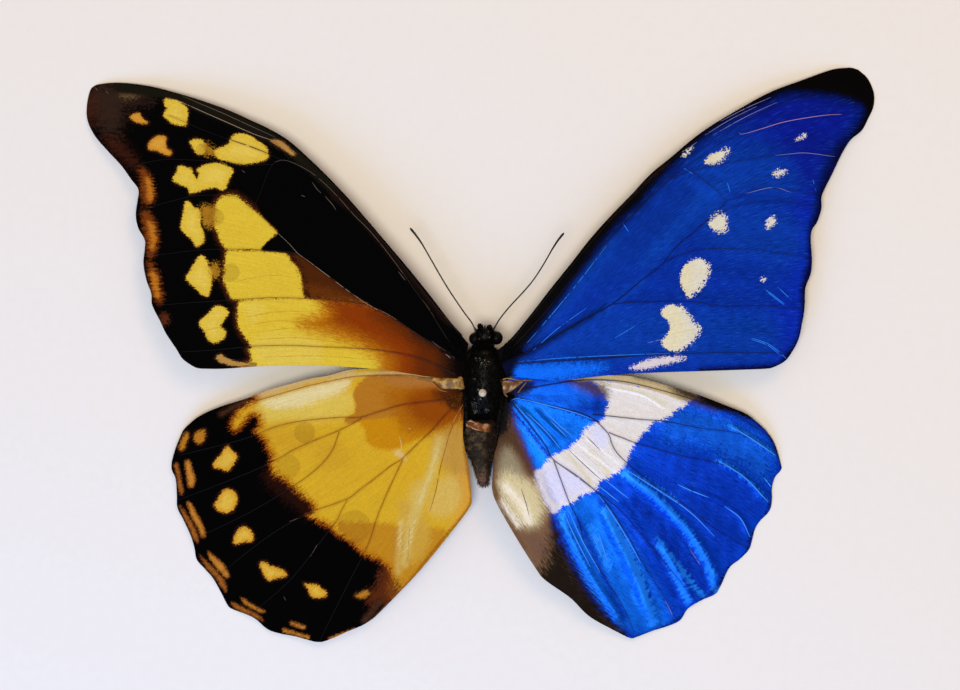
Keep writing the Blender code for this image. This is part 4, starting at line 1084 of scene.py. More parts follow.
# Rings of an eye-spot, from the outside in: each one's edge as a share of the spot's radius, and its colour
EYE_RINGS = ((1.25, "#3b2413"), (1.08, "#c49a3c"), (0.86, "#14100c"), (0.42, "#7a3c1e"), (0.16, "#e8e4da"))


def new_material(name):
    made = bpy.data.materials.new(name)
    made.use_nodes = True
    made.node_tree.nodes.clear()
    return made, made.node_tree


def close_material(tree, inputs):
    """The Principled shader and the output."""
    shader = add_node(tree, "BsdfPrincipled", inputs)
    add_node(tree, "OutputMaterial", {"Surface": shader.outputs[0]})


def coat(tree, below, tint, value, start, stop, strength=1.0):
    """Lay a colour over another where a value goes from start to stop: the new colour and its cover."""
    reach = {"Value": value, "From Min": start, "From Max": stop, "To Max": strength}
    cover = add_node(tree, "MapRange", reach, interpolation_type="SMOOTHSTEP").outputs[0]
    colour = add_node(tree, "Mix", {0: cover, 6: below, 7: linear(tint)}, data_type="RGBA").outputs[2]
    return colour, cover


def single_scales(tree):
    """Two random numbers for each scale, and how far a point is from the scale's middle.

    Real scales are 0.1 mm wide; they are drawn wider, the finest that a picture of the whole insect shows.
    """
    place = add_node(tree, "TexCoord").outputs["Object"]
    cells = add_node(tree, "TexVoronoi", {"Vector": place, "Scale": 1 / (SCALE_WIDTH * MM)})
    split = add_node(tree, "SeparateColor", {0: cells.outputs["Color"]})
    return split.outputs[0], split.outputs[1], cells.outputs["Distance"]


def strand_noise(tree, along, across):
    """Noise stretched on a wing, with so many lumps along its veins and so many across them."""
    strands = add_node(tree, "TexCoord").outputs["UV"]
    stretch = add_node(tree, "Mapping", {"Vector": strands, "Scale": (along, across, 1)}).outputs[0]
    return add_node(tree, "TexNoise", {"Vector": stretch, "Scale": 1.0, "Detail": 3.0}).outputs["Fac"]


def painted_marks(tree, name, metal, grain):
    """The colour of a wing's marks, laid from the lowest to the top one, and how metallic they are.

    grain holds a noise with its middle and gain for each way in which an edge can be ragged.
    """
    spread = {way: add_node(tree, "Math", {0: noise, 1: gain, 2: -gain * middle}, operation="MULTIPLY_ADD")
              for way, (noise, middle, gain) in grain.items()}
    colour, shine = linear(GROUNDS[name]), metal
    for mark in MARKS[name]:
        inside = add_node(tree, "Attribute", attribute_name=mark.name).outputs["Fac"]
        for way, noise in spread.items():
            if getattr(mark, way):
                inside = add_node(tree, "Math", {0: noise.outputs[0], 1: getattr(mark, way), 2: inside},
                                  operation="MULTIPLY_ADD").outputs[0]
        for tint, depth, blur in (*mark.rims, (mark.colour, 0.0, 1.0), *mark.cores):
            half = mark.edge * blur / 2
            colour, cover = coat(tree, colour, tint, inside, depth - half, depth + half, mark.strength)
        if metal:
            shine = add_node(tree, "Mix", {0: cover, 2: shine, 3: mark.metal}).outputs[0]
    return colour, shine


def wing_scales(name, title, metal, gloss, through):
    """Scales of the wing's upper side, in the colours of its marks.

    A butterfly's wing is a membrane tiled with flat scales, so colours meet in a ragged edge of single scales
    and the surface is matt; the male's blue comes from fine ridges on each scale and shines like metal.
    """
    made, tree = new_material(title)
    stray, tone, middle = single_scales(tree)
    rays = strand_noise(tree, 9, 240)
    bars = strand_noise(tree, 110, 30)
    grain = {"speckle": (stray, 0.5, 2.0), "fray": (strand_noise(tree, 40, 170), 0.5, 4.0),
             "bars": (bars, 0.5, 4.0)}
    colour, shine = painted_marks(tree, name, metal, grain)
    if metal:
        # Fine streaks along the metallic scales: painted glints in light azure, and painted shade in dark
        # navy between them
        streaks = strand_noise(tree, 36, 260)
        painted_glints = add_node(tree, "Math", {0: streaks, 1: shine}, operation="MULTIPLY").outputs[0]
        painted_glint_shade = add_node(tree, "Math", {0: shine, 1: painted_glints}, operation="SUBTRACT").outputs[0]
        colour = coat(tree, colour, "#2f7cf4", painted_glints, 0.54 * metal, 0.78 * metal, 0.24)[0]
        colour = coat(tree, colour, "#020c4c", painted_glint_shade, 0.50 * metal, 0.70 * metal, 0.5)[0]
    if through:
        spot = add_node(tree, "Attribute", attribute_name="eyespot").outputs["Fac"]
        colour = coat(tree, colour, "#80500f", spot, 1.06, 0.96, through)[0]
    shade = add_node(tree, "MapRange", {"Value": rays, "From Min": 0.3, "From Max": 0.7, "To Min": 0.86,
                                        "To Max": 1.02}).outputs[0]
    shade = add_node(tree, "Math", {0: tone, 1: 0.13, 2: shade}, operation="MULTIPLY_ADD").outputs[0]
    shade = add_node(tree, "Math", {0: bars, 1: 0.12, 2: shade}, operation="MULTIPLY_ADD").outputs[0]
    shade = add_node(tree, "Math", {0: shade, 1: 0.065}, operation="SUBTRACT").outputs[0]
    vein = add_node(tree, "Attribute", attribute_name="vein").outputs["Fac"]
    hollow = add_node(tree, "MapRange", {"Value": vein, "From Min": 0.5, "From Max": 0.05}).outputs[0]
    shade = add_node(tree, "Math", {0: hollow, 1: -0.2, 2: shade}, operation="MULTIPLY_ADD").outputs[0]
    colour = add_node(tree, "HueSaturation", {"Color": colour, "Value": shade}).outputs[0]
    height = add_node(tree, "Math", {0: middle, 1: -0.6, 2: bars}, operation="MULTIPLY_ADD").outputs[0]
    bump = add_node(tree, "Bump", {"Height": height, "Strength": 0.3, "Distance": 0.05 * MM}).outputs[0]
    settings = {"Base Color": colour, "Roughness": gloss, "Specular IOR Level": 0.02, "Normal": bump}
    if metal:
        settings["Metallic"] = shine
    close_material(tree, settings)
    return made


def under_scales(name, title, ground, pale):
    """Scales of the wing's underside, like dead leaves: brown clouds, pale windows, ringed eye-spots."""
    made, tree = new_material(title)
    stray, tone, middle = single_scales(tree)
    place = add_node(tree, "TexCoord").outputs["Object"]
    clouds = add_node(tree, "TexNoise", {"Vector": place, "Scale": 1 / (9 * MM),
                                         "Detail": 4.0}).outputs["Fac"]
    colour = coat(tree, linear(ground), pale, clouds, 0.45, 0.62)[0]
    for mark in WINDOWS[name]:
        inside = add_node(tree, "Attribute", attribute_name=mark).outputs["Fac"]
        ragged = add_node(tree, "Math", {0: stray, 1: 0.5, 2: inside}, operation="MULTIPLY_ADD").outputs[0]
        colour = coat(tree, colour, "#c9b684", ragged, -0.3, 1.1, 0.85)[0]
    vein = add_node(tree, "Attribute", attribute_name="vein").outputs["Fac"]
    colour = coat(tree, colour, "#33200f", vein, 0.5, 0.1, 0.7)[0]
    spot = add_node(tree, "Attribute", attribute_name="eyespot").outputs["Fac"]
    ragged = add_node(tree, "Math", {0: stray, 1: 0.08, 2: spot}, operation="MULTIPLY_ADD").outputs[0]
    for edge, tint in EYE_RINGS:
        colour = coat(tree, colour, tint, ragged, edge + 0.06, edge - 0.06)[0]
    shade = add_node(tree, "Math", {0: tone, 1: 0.22, 2: 0.88}, operation="MULTIPLY_ADD").outputs[0]
    colour = add_node(tree, "HueSaturation", {"Color": colour, "Value": shade}).outputs[0]
    bump = add_node(tree, "Bump", {"Height": middle, "Strength": 0.3, "Distance": 0.04 * MM}).outputs[0]
    close_material(tree, {"Base Color": colour, "Roughness": 0.8, "Specular IOR Level": 0.1, "Normal": bump})
    return made


def vein_cuticle(name, title, tint):
    """Cuticle of a vein: a tube under thin scales that darkens the wing's colours, brown from below."""
    made, tree = new_material(title)
    stray = single_scales(tree)[0]
    colour = painted_marks(tree, name, 0.0, {"speckle": (stray, 0.5, 2.0)})[0]
    colour = add_node(tree, "Mix", {0: 1.0, 6: colour, 7: linear(tint)}, data_type="RGBA",
                      blend_type="MULTIPLY").outputs[2]
    place = add_node(tree, "TexCoord").outputs["Object"]
    patchy = add_node(tree, "TexNoise", {"Vector": place, "Scale": 1 / (1.2 * MM),
                                       "Detail": 3.0}).outputs["Fac"]
    shade = add_node(tree, "MapRange", {"Value": patchy, "From Min": 0.3, "From Max": 0.7, "To Min": 0.8,
                                        "To Max": 1.2}).outputs[0]
    colour = add_node(tree, "HueSaturation", {"Color": colour, "Value": shade}).outputs[0]
    facing = add_node(tree, "SeparateXYZ", {0: add_node(tree, "TexCoord").outputs["Normal"]}).outputs[2]
    colour = coat(tree, colour, "#3a2412", facing, -0.05, -0.3)[0]
    close_material(tree, {"Base Color": colour, "Roughness": 0.5, "Specular IOR Level": 0.12})
    return made


def patchy_crease(name, title, tint, share):
    """The top of a crease, with its tint laid over the wing's colours in stretches: on some creases a painted
    glint, on others the crease's own colour.
    """
    made, tree = new_material(title)
    stray = single_scales(tree)[0]
    colour = painted_marks(tree, name, 0.0, {"speckle": (stray, 0.5, 2.0)})[0]
    place = add_node(tree, "TexCoord").outputs["Object"]
    patchy = add_node(tree, "TexNoise", {"Vector": place, "Scale": 1 / (1.4 * MM),
                                       "Detail": 4.0}).outputs["Fac"]
    colour = coat(tree, colour, tint, patchy, 0.62 - 0.34 * share, 0.72 - 0.34 * share, 0.95)[0]
    close_material(tree, {"Base Color": colour, "Roughness": 0.5, "Specular IOR Level": 0.1})
    return made


# Marks of the upper side that are pale on the underside too
WINDOWS = {"forewing_left": ["rear_yellow", "yellow_spots"], "hindwing_left": ["costa_cream", "front_yellow"],
           "forewing_right": ["cream"], "hindwing_right": ["band_white"]}
# Finish of each wing: name, metal, roughness, how far its underside shows through, tint of its veins
WING_FINISHES = {
    "forewing_left": ("female_forewing_scales", 0.0, 0.75, 0.25, "#c8a488"),
    "hindwing_left": ("female_hindwing_scales", 0.0, 0.75, 0.25, "#d2ac84"),
    "forewing_right": ("male_forewing_scales", 0.35, 0.5, 0.0, "#8c8c96"),
    "hindwing_right": ("male_hindwing_scales", 0.6, 0.4, 0.0, "#84849c"),
}


def make_wings():
    """All that belongs to the wings; gives back each one's upper surface, for the fur to stand on."""
    surfaces = {}
    fringe = hair_keratin("black_margin_fringe", "#060504", "#171009", "#4a3a28", 0.12)
    for name, (title, metal, roughness, through, tint) in WING_FINISHES.items():
        female = name.endswith("left")
        upper = wing_scales(name, title, metal, roughness, through)
        under = under_scales(name, f"{title}_underside", "#5c3f22" if female else "#4a3423", "#8c6f45")
        surface = make_wing(name, upper, under)
        make_veins(name, surface, vein_cuticle(name, f"{name}_vein_cuticle", tint))
        make_creases(name, surface)
        make_fringe(name, surface, fringe)
        surfaces[name] = surface
    return surfaces


# Body

def loft(name, stations, sides, levels=1):
    """Draw a closed body out of one ring, from front to rear.

    A station is (along, half width, half height, middle x, middle z) in millimetres.
    """
    deselect()
    along, wide, tall, x, z = stations[0]
    bpy.ops.mesh.primitive_circle_add(vertices=sides, radius=MM, fill_type="NGON",
                                      location=(x * MM, along * MM, z * MM),
                                      rotation=(math.radians(90), 0, 0))
    item = bpy.context.object
    item.name = item.data.name = name
    bpy.ops.object.transform_apply(location=True, rotation=True, scale=True)
    bpy.ops.object.mode_set(mode="EDIT")
    bpy.ops.mesh.select_all(action="SELECT")
    bpy.ops.transform.resize(value=(wide, 1, tall), center_override=(x * MM, along * MM, z * MM))
    for before, after in zip(stations, stations[1:]):
        step = ((after[3] - before[3]) * MM, (after[0] - before[0]) * MM, (after[4] - before[4]) * MM)
        bpy.ops.mesh.extrude_region_move(TRANSFORM_OT_translate={"value": step})
        bpy.ops.transform.resize(value=(after[1] / before[1], 1, after[2] / before[2]),
                                 center_override=(after[3] * MM, after[0] * MM, after[4] * MM))
    bpy.ops.mesh.select_all(action="SELECT")
    bpy.ops.mesh.normals_make_consistent(inside=False)
    bpy.ops.object.mode_set(mode="OBJECT")
    if levels:
        apply_modifier(item, "SUBSURF", levels=levels, render_levels=levels)
    pick(item)
    bpy.ops.object.shade_smooth()
    return item


def ellipsoid(name, centre, half, segments=24, rings=16):
    """A ball with its middle and its three half sizes in millimetres."""
    deselect()
    bpy.ops.mesh.primitive_uv_sphere_add(segments=segments, ring_count=rings, radius=MM,
                                         location=Vector(centre) * MM)
    item = bpy.context.object
    item.name = item.data.name = name
    bpy.ops.object.mode_set(mode="EDIT")
    bpy.ops.mesh.select_all(action="SELECT")
    bpy.ops.transform.resize(value=half, center_override=Vector(centre) * MM)
    bpy.ops.object.mode_set(mode="OBJECT")
    bpy.ops.object.transform_apply(location=True, rotation=True, scale=True)
    bpy.ops.object.shade_smooth()
    return item


def tube(name, routes, sides=8):
    """Round rods along routes of (x, y, z, radius) in millimetres, as one mesh."""
    curve = bpy.data.curves.new(name, "CURVE")
    curve.dimensions = "3D"
    curve.bevel_depth = MM
    curve.bevel_resolution = sides // 2 - 2
    curve.use_fill_caps = True
    for route in routes:
        spline = curve.splines.new("POLY")
        spline.points.add(len(route) - 1)
        for point, (x, y, z, radius) in zip(spline.points, route):
            point.co = (x * MM, y * MM, z * MM, 1)
            point.radius = radius
    item = bpy.data.objects.new(name, curve)
    bpy.context.scene.collection.objects.link(item)
    pick(item)
    bpy.ops.object.convert(target="MESH")
    item = bpy.context.object
    item.name = item.data.name = name
    bpy.ops.object.shade_smooth()
    return item


def join(items, name):
    """Several meshes as one."""
    deselect()
    for item in items:
        item.select_set(True)
    bpy.context.view_layer.objects.active = items[0]
    bpy.ops.object.join()
    items[0].name = items[0].data.name = name
    return items[0]


def roughen(item, size, depth, seed):
    """Push the surface in and out by small soft lumps."""
    places = vertices_of(item)
    normals = np.empty(len(places) * 3)
    item.data.vertices.foreach_get("normal", normals)
    lumps = soft_noise(places[:, :2], size, seed) + soft_noise(places[:, 1:], size, seed + 1)
    set_vertices(item, places + normals.reshape(-1, 3) * (depth / 2 * lumps)[:, None])


def roots_on(item, count, rng, tubular=False):
    """Random places on a piece, even over its surface, with their normals, in millimetres.

    Blender numbers the faces of a loft or a ball in another order on each run, so they are sorted by their
    place. A tube's faces always come in the same order.
    """
    mesh = item.data
    mesh.calc_loop_triangles()
    corners = np.empty(len(mesh.loop_triangles) * 3, int)
    mesh.loop_triangles.foreach_get("vertices", corners)
    corners = corners.reshape(-1, 3)
    places = vertices_of(item)
    if not tubular:
        rank = places @ SORTING_DIRECTION
        turn = rank[corners].argmin(1)[:, None] + [0, 1, 2]
        corners = np.take_along_axis(corners, turn % 3, 1)
        corners = corners[rank[corners].sum(1).argsort()]
    a, b, c = places[corners].transpose(1, 0, 2)
    normals = np.cross(b - a, c - a)
    area = np.linalg.norm(normals, axis=1)
    chosen = rng.choice(len(area), count, p=area / area.sum())
    u, v = rng.random((2, count, 1))
    fold = u + v > 1
    u, v = np.where(fold, 1 - u, u), np.where(fold, 1 - v, v)
    spots = a[chosen] + (b - a)[chosen] * u + (c - a)[chosen] * v
    return spots, normals[chosen] / np.maximum(area[chosen], 1e-12)[:, None]


def unit(vectors):
    return vectors / np.maximum(np.linalg.norm(vectors, axis=1, keepdims=True), 1e-9)


def grow_hair(name, places, rise, lean, length, width, rng, made):
    """Flat tapering hairs in one mesh. Each starts along rise and bends over to lean, in millimetres."""
    count = len(places)
    rise, lean = unit(rise), unit(lean)
    length = length * rng.uniform(0.6, 1.15, (count, 1))
    first = unit(rise + 0.35 * lean)
    second = unit(0.5 * rise + lean)
    third = unit(0.15 * rise + lean)
    rows = [places, places + first * length * 0.35, places + first * length * 0.35 + second * length * 0.35,
            places + first * length * 0.35 + second * length * 0.35 + third * length * 0.3]
    side = unit(np.cross(lean, rng.normal(size=(count, 3)))) * width / 2
    points = np.stack([rows[0] - side, rows[0] + side, rows[1] - side, rows[1] + side, rows[2] - 0.7 * side,
                       rows[2] + 0.7 * side, rows[3]], axis=1).reshape(-1, 3)
    start = np.arange(count)[:, None] * 7
    quads = np.vstack([start + [0, 1, 3, 2], start + [2, 3, 5, 4]])
    tips = start + [4, 5, 6]
    mesh = bpy.data.meshes.new(name)
    mesh.from_pydata((points * MM).tolist(), [], quads.tolist() + tips.tolist())
    item = bpy.data.objects.new(name, mesh)
    bpy.context.scene.collection.objects.link(item)
    set_attribute(item, "strand", np.repeat(rng.random(count), 7))
    set_attribute(item, "tip", np.tile([0, 0, 0.35, 0.35, 0.7, 0.7, 1.0], count))
    return finish_piece(item, [made])


# Fur of each piece: count, seed, the way it lies, how far it stands up, how ruffled it is, and the length and
# width of a hair in millimetres
FURS = {
    "thorax": (15000, 41, (0.0, -1.0, 0.0), 0.25, 0.22, 0.85, 0.05),
    "flank_left": (4200, 91, (0.0, -0.6, 0.3), 0.5, 0.35, 0.6, 0.05),
    "flank_right": (4200, 92, (0.0, -0.6, 0.3), 0.5, 0.35, 0.6, 0.05),
    "head": (3200, 42, (0.0, 0.5, 0.25), 0.5, 0.35, 0.6, 0.05),
    "palp_left": (700, 51, (0.0, 0.9, 0.8), 0.4, 0.2, 0.28, 0.045),
    "palp_right": (700, 52, (0.0, 0.9, 0.8), 0.4, 0.2, 0.28, 0.045),
    "abdomen": (6000, 43, (0.0, -1.0, 0.0), 0.15, 0.14, 0.38, 0.055),
    "tail": (420, 44, (0.0, -1.0, 0.05), 0.35, 0.3, 0.5, 0.045),
}


def grow_fur(item, name, made, keep=None, tubular=False):
    """Fur all over a piece, or only where keep says so of the roots' places."""
    count, seed, heading, rise, stray, length, width = FURS[name]
    rng = np.random.default_rng(seed)
    places, normals = roots_on(item, count, rng, tubular)
    if keep:
        kept = keep(places)
        places, normals = places[kept], normals[kept]
    flow = np.array(heading) + rise * normals + rng.normal(0, stray, places.shape)
    grow_hair(f"{name}_fur", places, normals, flow, length, width, rng, made)
    return rng


def hair_keratin(title, root, tip, pale, share, gloss=0.55):
    """Hair-like scales: thin flat strands, darker at the root, with a few paler ones among them."""
    made, tree = new_material(title)
    along = add_node(tree, "Attribute", attribute_name="tip").outputs["Fac"]
    strand = add_node(tree, "Attribute", attribute_name="strand").outputs["Fac"]
    colour = coat(tree, linear(root), tip, along, 0.0, 1.0)[0]
    colour = coat(tree, colour, pale, strand, 1 - share, 1.0)[0]
    close_material(tree, {"Base Color": colour, "Roughness": gloss, "Specular IOR Level": 0.06})
    return made


def cuticle(title, dark, light, size, roughness=0.5, specular=0.25, depth=0.02):
    """Insect cuticle: a hard waxy shell, mottled and finely pitted, with a dull shine."""
    made, tree = new_material(title)
    place = add_node(tree, "TexCoord").outputs["Object"]
    mottle = add_node(tree, "TexNoise", {"Vector": place, "Scale": 1 / (size * MM),
                                         "Detail": 5.0}).outputs["Fac"]
    pits = add_node(tree, "TexVoronoi", {"Vector": place, "Scale": 1 / (0.18 * MM)}).outputs["Distance"]
    colour, cover = coat(tree, linear(dark), light, mottle, 0.42, 0.62)
    rough = add_node(tree, "Math", {0: cover, 1: -0.2, 2: roughness + 0.12},
                     operation="MULTIPLY_ADD").outputs[0]
    bump = add_node(tree, "Bump", {"Height": pits, "Strength": 0.5, "Distance": depth * MM}).outputs[0]
    close_material(tree, {"Base Color": colour, "Roughness": rough, "Specular IOR Level": specular,
                          "Normal": bump})
    return made


# The thorax and the sides of the body under the wing roots, from front to rear, as loft's stations
THORAX = [(7.75, 0.5, 0.5, 0.3, 5.0), (7.6, 1.1, 1.1, 0.3, 5.0), (7.1, 1.65, 1.6, 0.28, 5.0),
          (6.5, 2.0, 2.0, 0.26, 5.0), (6.25, 1.95, 2.0, 0.26, 5.0), (5.9, 2.35, 2.3, 0.25, 5.0),
          (5.0, 2.75, 2.75, 0.25, 5.0), (3.6, 2.98, 3.0, 0.25, 5.0), (1.6, 3.02, 3.08, 0.25, 5.0),
          (0.0, 2.98, 3.0, 0.25, 5.0), (-1.1, 2.8, 2.75, 0.22, 5.0), (-1.5, 2.6, 2.55, 0.2, 4.95),
          (-2.4, 2.5, 2.4, 0.18, 4.9), (-2.8, 2.3, 2.15, 0.15, 4.85), (-3.4, 2.1, 1.9, 0.1, 4.8),
          (-3.75, 1.5, 1.4, 0.05, 4.75), (-3.85, 0.6, 0.6, 0.05, 4.75)]
FLANKS = {
    "left": [(7.5, 0.25, 0.4, -1.7, 5.0), (6.6, 0.7, 1.0, -2.1, 4.9), (4.5, 0.95, 1.3, -2.7, 4.7),
             (1.5, 0.95, 1.35, -2.8, 4.6), (-1.5, 0.85, 1.2, -2.75, 4.5), (-4.0, 0.75, 1.05, -2.65, 4.4),
             (-6.5, 0.5, 0.85, -2.75, 4.4), (-8.3, 0.25, 0.4, -2.5, 4.4)],
    "right": [(7.3, 0.25, 0.4, 2.1, 5.0), (6.2, 0.7, 1.0, 2.6, 4.9), (4.5, 0.95, 1.3, 3.1, 4.7),
              (1.5, 0.95, 1.35, 3.3, 4.6), (-1.5, 0.9, 1.2, 3.15, 4.5), (-4.0, 0.8, 1.05, 2.75, 4.4),
              (-6.5, 0.7, 0.95, 2.45, 4.4), (-9.3, 0.3, 0.4, 2.1, 4.4)],
}
# Clearing in the fur round the pin, lowest fur on the flanks, foremost fur on the head, in millimetres
PIN_CLEARING = 0.5
FLANK_FUR_LOW = 4.2
FACE_EDGE = 10.4
NECK_HAIRS = 900


def make_thorax(fur):
    """Three fused rings: a narrow collar, the big shield that carries the forewings, a short rear ring."""
    thorax = loft("thorax_shell", THORAX, 20, 2)
    roughen(thorax, 1.6, 0.05, 31)
    shell = cuticle("black_thorax_cuticle", "#040403", "#0c0c08", 1.4, 0.42, 0.25)
    finish_piece(thorax, [shell], ["thorax"])
    grow_fur(thorax, "thorax", fur, lambda places: np.linalg.norm(places[:, :2], axis=1) > PIN_CLEARING)
    return thorax


def make_flanks(fur):
    """Soft skin between the body and its wings, under black fur."""
    skin = cuticle("black_side_skin", "#030202", "#080605", 0.9, 0.6, 0.1)
    for name, stations in FLANKS.items():
        flank = finish_piece(loft(f"flank_{name}", stations, 14, 1), [skin])
        grow_fur(flank, f"flank_{name}", fur, lambda places: places[:, 2] > FLANK_FUR_LOW)


def make_head(fur):
    """A round head with short fur, and long hair over the neck."""
    head = ellipsoid("head_shell", (0.42, 9.3, 5.0), (1.5, 1.3, 1.45))
    roughen(head, 0.8, 0.06, 32)
    shell = cuticle("black_head_cuticle", "#050504", "#100e0a", 0.7, 0.45, 0.3)
    finish_piece(head, [shell], ["head"])
    rng = grow_fur(head, "head", fur, lambda places: places[:, 1] < FACE_EDGE)
    low, high = (-1.2, 7.2, 5.3), (1.9, 8.3, 6.5)
    neck = np.column_stack([rng.uniform(a, b, NECK_HAIRS) for a, b in zip(low, high)])
    rise = np.column_stack([0.3 * (neck[:, 0] - 0.35), np.zeros(NECK_HAIRS), np.ones(NECK_HAIRS)])
    lean = np.array([0, 0.6, 0.2]) + rng.normal(0, 0.3, neck.shape)
    grow_hair("neck_fur", neck, rise, lean, 0.9, 0.06, rng, fur)
    return head


# Loose pale scales on the body, as (place in the photograph, spread in millimetres, count); on the thorax the
# specks at (478.3, 389.3) and (480.5, 398.5) are painted reflections of the pin's ball
THORAX_DUST_AND_GLINTS = [((476, 358), 0.14, 14), ((466, 372), 0.2, 8), ((472, 371), 0.3, 8), ((474, 379), 0.15, 7),
               ((478.3, 389.3), 0.22, 30), ((480.5, 398.5), 0.2, 28), ((474, 404), 0.6, 110),
               ((476, 411), 0.5, 70), ((486, 410), 0.35, 34), ((483, 362), 1.2, 50)]
HEAD_DUST = [((488, 331.5), 0.1, 7), ((489.5, 337.5), 0.1, 7), ((479.5, 339.5), 0.1, 6)]


def dust_and_glint_specks(item, dust, name):
    """Pale specks lying on the body's fur: loose scales shed from the wings, and on the thorax two painted
    reflections of the pin's ball.
    """
    rng = np.random.default_rng(82)
    top = surface_of(item)
    places = []
    for centre, spread, count in dust:
        for spot in traced([centre])[0] + rng.normal(0, spread / 2, (count, 2)):
            height = on_surface(top, spot)
            if height is not None:
                places.append((*spot, height + DUST_LIFT))
    places = np.array(places)
    up = np.tile([0.0, 0.0, 1.0], (len(places), 1))
    lean = rng.normal(0, 1, places.shape) * (1, 1, 0.15)
    pale = hair_keratin(f"grey_scales_on_{name.split('_')[0]}", "#4c4d45", "#6c6c62", "#d0c8bc", 0.3, 0.4)
    grow_hair(name, places, up, lean, 0.2, 0.1, rng, pale)


def eye_lens(title):
    """A compound eye: thousands of smooth lenses under a hard clear cuticle, nearly black when dry.

    Real facets are 0.025 mm wide; they are drawn 0.11 mm wide so that they show at all.
    """
    made, tree = new_material(title)
    place = add_node(tree, "TexCoord").outputs["Object"]
    facets = add_node(tree, "TexVoronoi", {"Vector": place, "Scale": 1 / (0.11 * MM), "Randomness": 0.25})
    grazing_sheen = add_node(tree, "LayerWeight", {"Blend": 0.35}).outputs["Facing"]
    # Painted sheen: the eye turns brown where it is seen at a grazing angle
    colour = coat(tree, linear("#040303"), "#22100a", grazing_sheen, 0.35, 0.9)[0]
    bump = add_node(tree, "Bump", {"Height": facets.outputs["Distance"], "Strength": 0.5,
                                   "Distance": 0.02 * MM}).outputs[0]
    close_material(tree, {"Base Color": colour, "Roughness": 0.4, "Specular IOR Level": 0.06, "Normal": bump,
                          "Coat Weight": 0.02, "Coat Roughness": 0.15})
    return made


# Middle and radius of each eye, in millimetres
EYES = {"left": (-1.22, 8.87, 5.1, 1.03), "right": (2.27, 9.0, 5.1, 1.1)}


def make_eyes():
    """Two bulging eyes, drawn in on the side that sits against the head."""
    lens = eye_lens("compound_eye_lens")
    for side, name in ((-1, "left"), (1, "right")):
        x, y, z, radius = EYES[name]
        eye = ellipsoid(f"eye_{name}_globe", (x, y, z), (radius, 1.03 * radius, 1.05 * radius), 32, 20)
        bpy.ops.object.mode_set(mode="EDIT")
        bpy.ops.mesh.select_all(action="DESELECT")
        bpy.ops.object.mode_set(mode="OBJECT")
        for face in eye.data.polygons:
            face.select = side * (face.center.x / MM - x) < -0.72
        bpy.ops.object.mode_set(mode="EDIT")
        bpy.ops.mesh.inset(thickness=0.08 * MM)
        bpy.ops.transform.translate(value=(side * 0.12 * MM, 0, 0))
        bpy.ops.object.mode_set(mode="OBJECT")
        finish_piece(eye, [lens], [f"eye_{name}"])


def ringed_radius(share, rings, base, club):
    """A feeler's radius: fine rings, and a slim club over the last fifth."""
    swell = 1 + (club - 1) * np.clip((share - 0.78) / 0.2, 0, 1)
    end = np.sqrt(np.clip((1.0 - share) / 0.02, 0.02, 1))
    return base * swell * end * (1 + 0.08 * np.cos(share * rings * math.tau))


# Routes of the feelers, and of the right legs from the body to the foot, in millimetres
ANTENNAE = {
    "left": [(-1.1, 10.2, 5.9), (-1.9, 11.7, 6.1), (-3.1, 13.3, 6.3), (-5.4, 16.7, 6.6), (-7.1, 19.5, 6.8),
             (-8.7, 22.3, 6.9), (-10.1, 24.7, 6.9), (-11.1, 26.1, 6.9), (-12.0, 27.2, 6.8)],
    "right": [(1.8, 10.4, 5.9), (2.9, 12.2, 6.1), (4.6, 14.3, 6.3), (7.1, 17.0, 6.6), (8.7, 19.0, 6.8),
              (10.4, 21.7, 6.9), (11.6, 23.8, 6.9), (12.6, 25.3, 6.9), (13.5, 26.4, 6.8)],
}
PALPS = {"left": [(-0.23, 10.2, 3.3), (-0.35, 10.8, 4.2), (-0.5, 11.05, 5.3)],
         "right": [(1.07, 10.2, 3.3), (1.15, 10.65, 4.2), (1.25, 10.8, 5.3)]}
LEGS = {
    "fore": [(0.8, 5.4, 1.4), (1.3, 6.6, 1.8), (1.4, 7.7, 2.3), (1.7, 7.4, 1.7), (1.9, 6.2, 1.2)],
    "middle": [(0.9, 2.6, 1.3), (2.3, 4.2, 1.1), (3.2, 2.4, 0.95), (3.3, -0.6, 0.7), (3.1, -3.2, 0.4),
               (3.0, -4.6, 0.25)],
    "hind": [(0.9, -0.6, 1.3), (2.2, 0.9, 0.95), (2.0, -2.2, 0.7), (1.6, -5.5, 0.45), (1.3, -8.0, 0.25)],
}


def make_feelers(fur):
    """Antennae of fine rings that thicken at both ends, and the two scaled palps between them."""
    horn = cuticle("dark_antenna_cuticle", "#0c0906", "#241910", 1.0, 0.45, 0.3, 0.01)
    for name, route in ANTENNAE.items():
        path = spaced(smooth(route, steps=12), 260)
        share = np.linspace(0, 1, len(path))
        radius = ringed_radius(share, 52, 0.115, 1.75)
        radius[:10] *= np.linspace(1.9, 1.0, 10)
        item = tube(f"antenna_{name}_rings", [np.column_stack([path, radius])])
        finish_piece(item, [horn], [f"antenna_{name}"])
    for name, route in PALPS.items():
        path = spaced(smooth(route, steps=10), 22)
        share = np.linspace(0, 1, len(path))
        radius = 0.34 * np.sin(math.pi * (0.12 + 0.8 * share)) ** 0.8
        item = tube(f"palp_{name}_scaled", [np.column_stack([path, radius])], 12)
        skin = cuticle(f"palp_{name}_cuticle", "#080706", "#15110c", 0.6)
        finish_piece(item, [skin], [f"palp_{name}"])
        grow_fur(item, f"palp_{name}", fur, tubular=True)


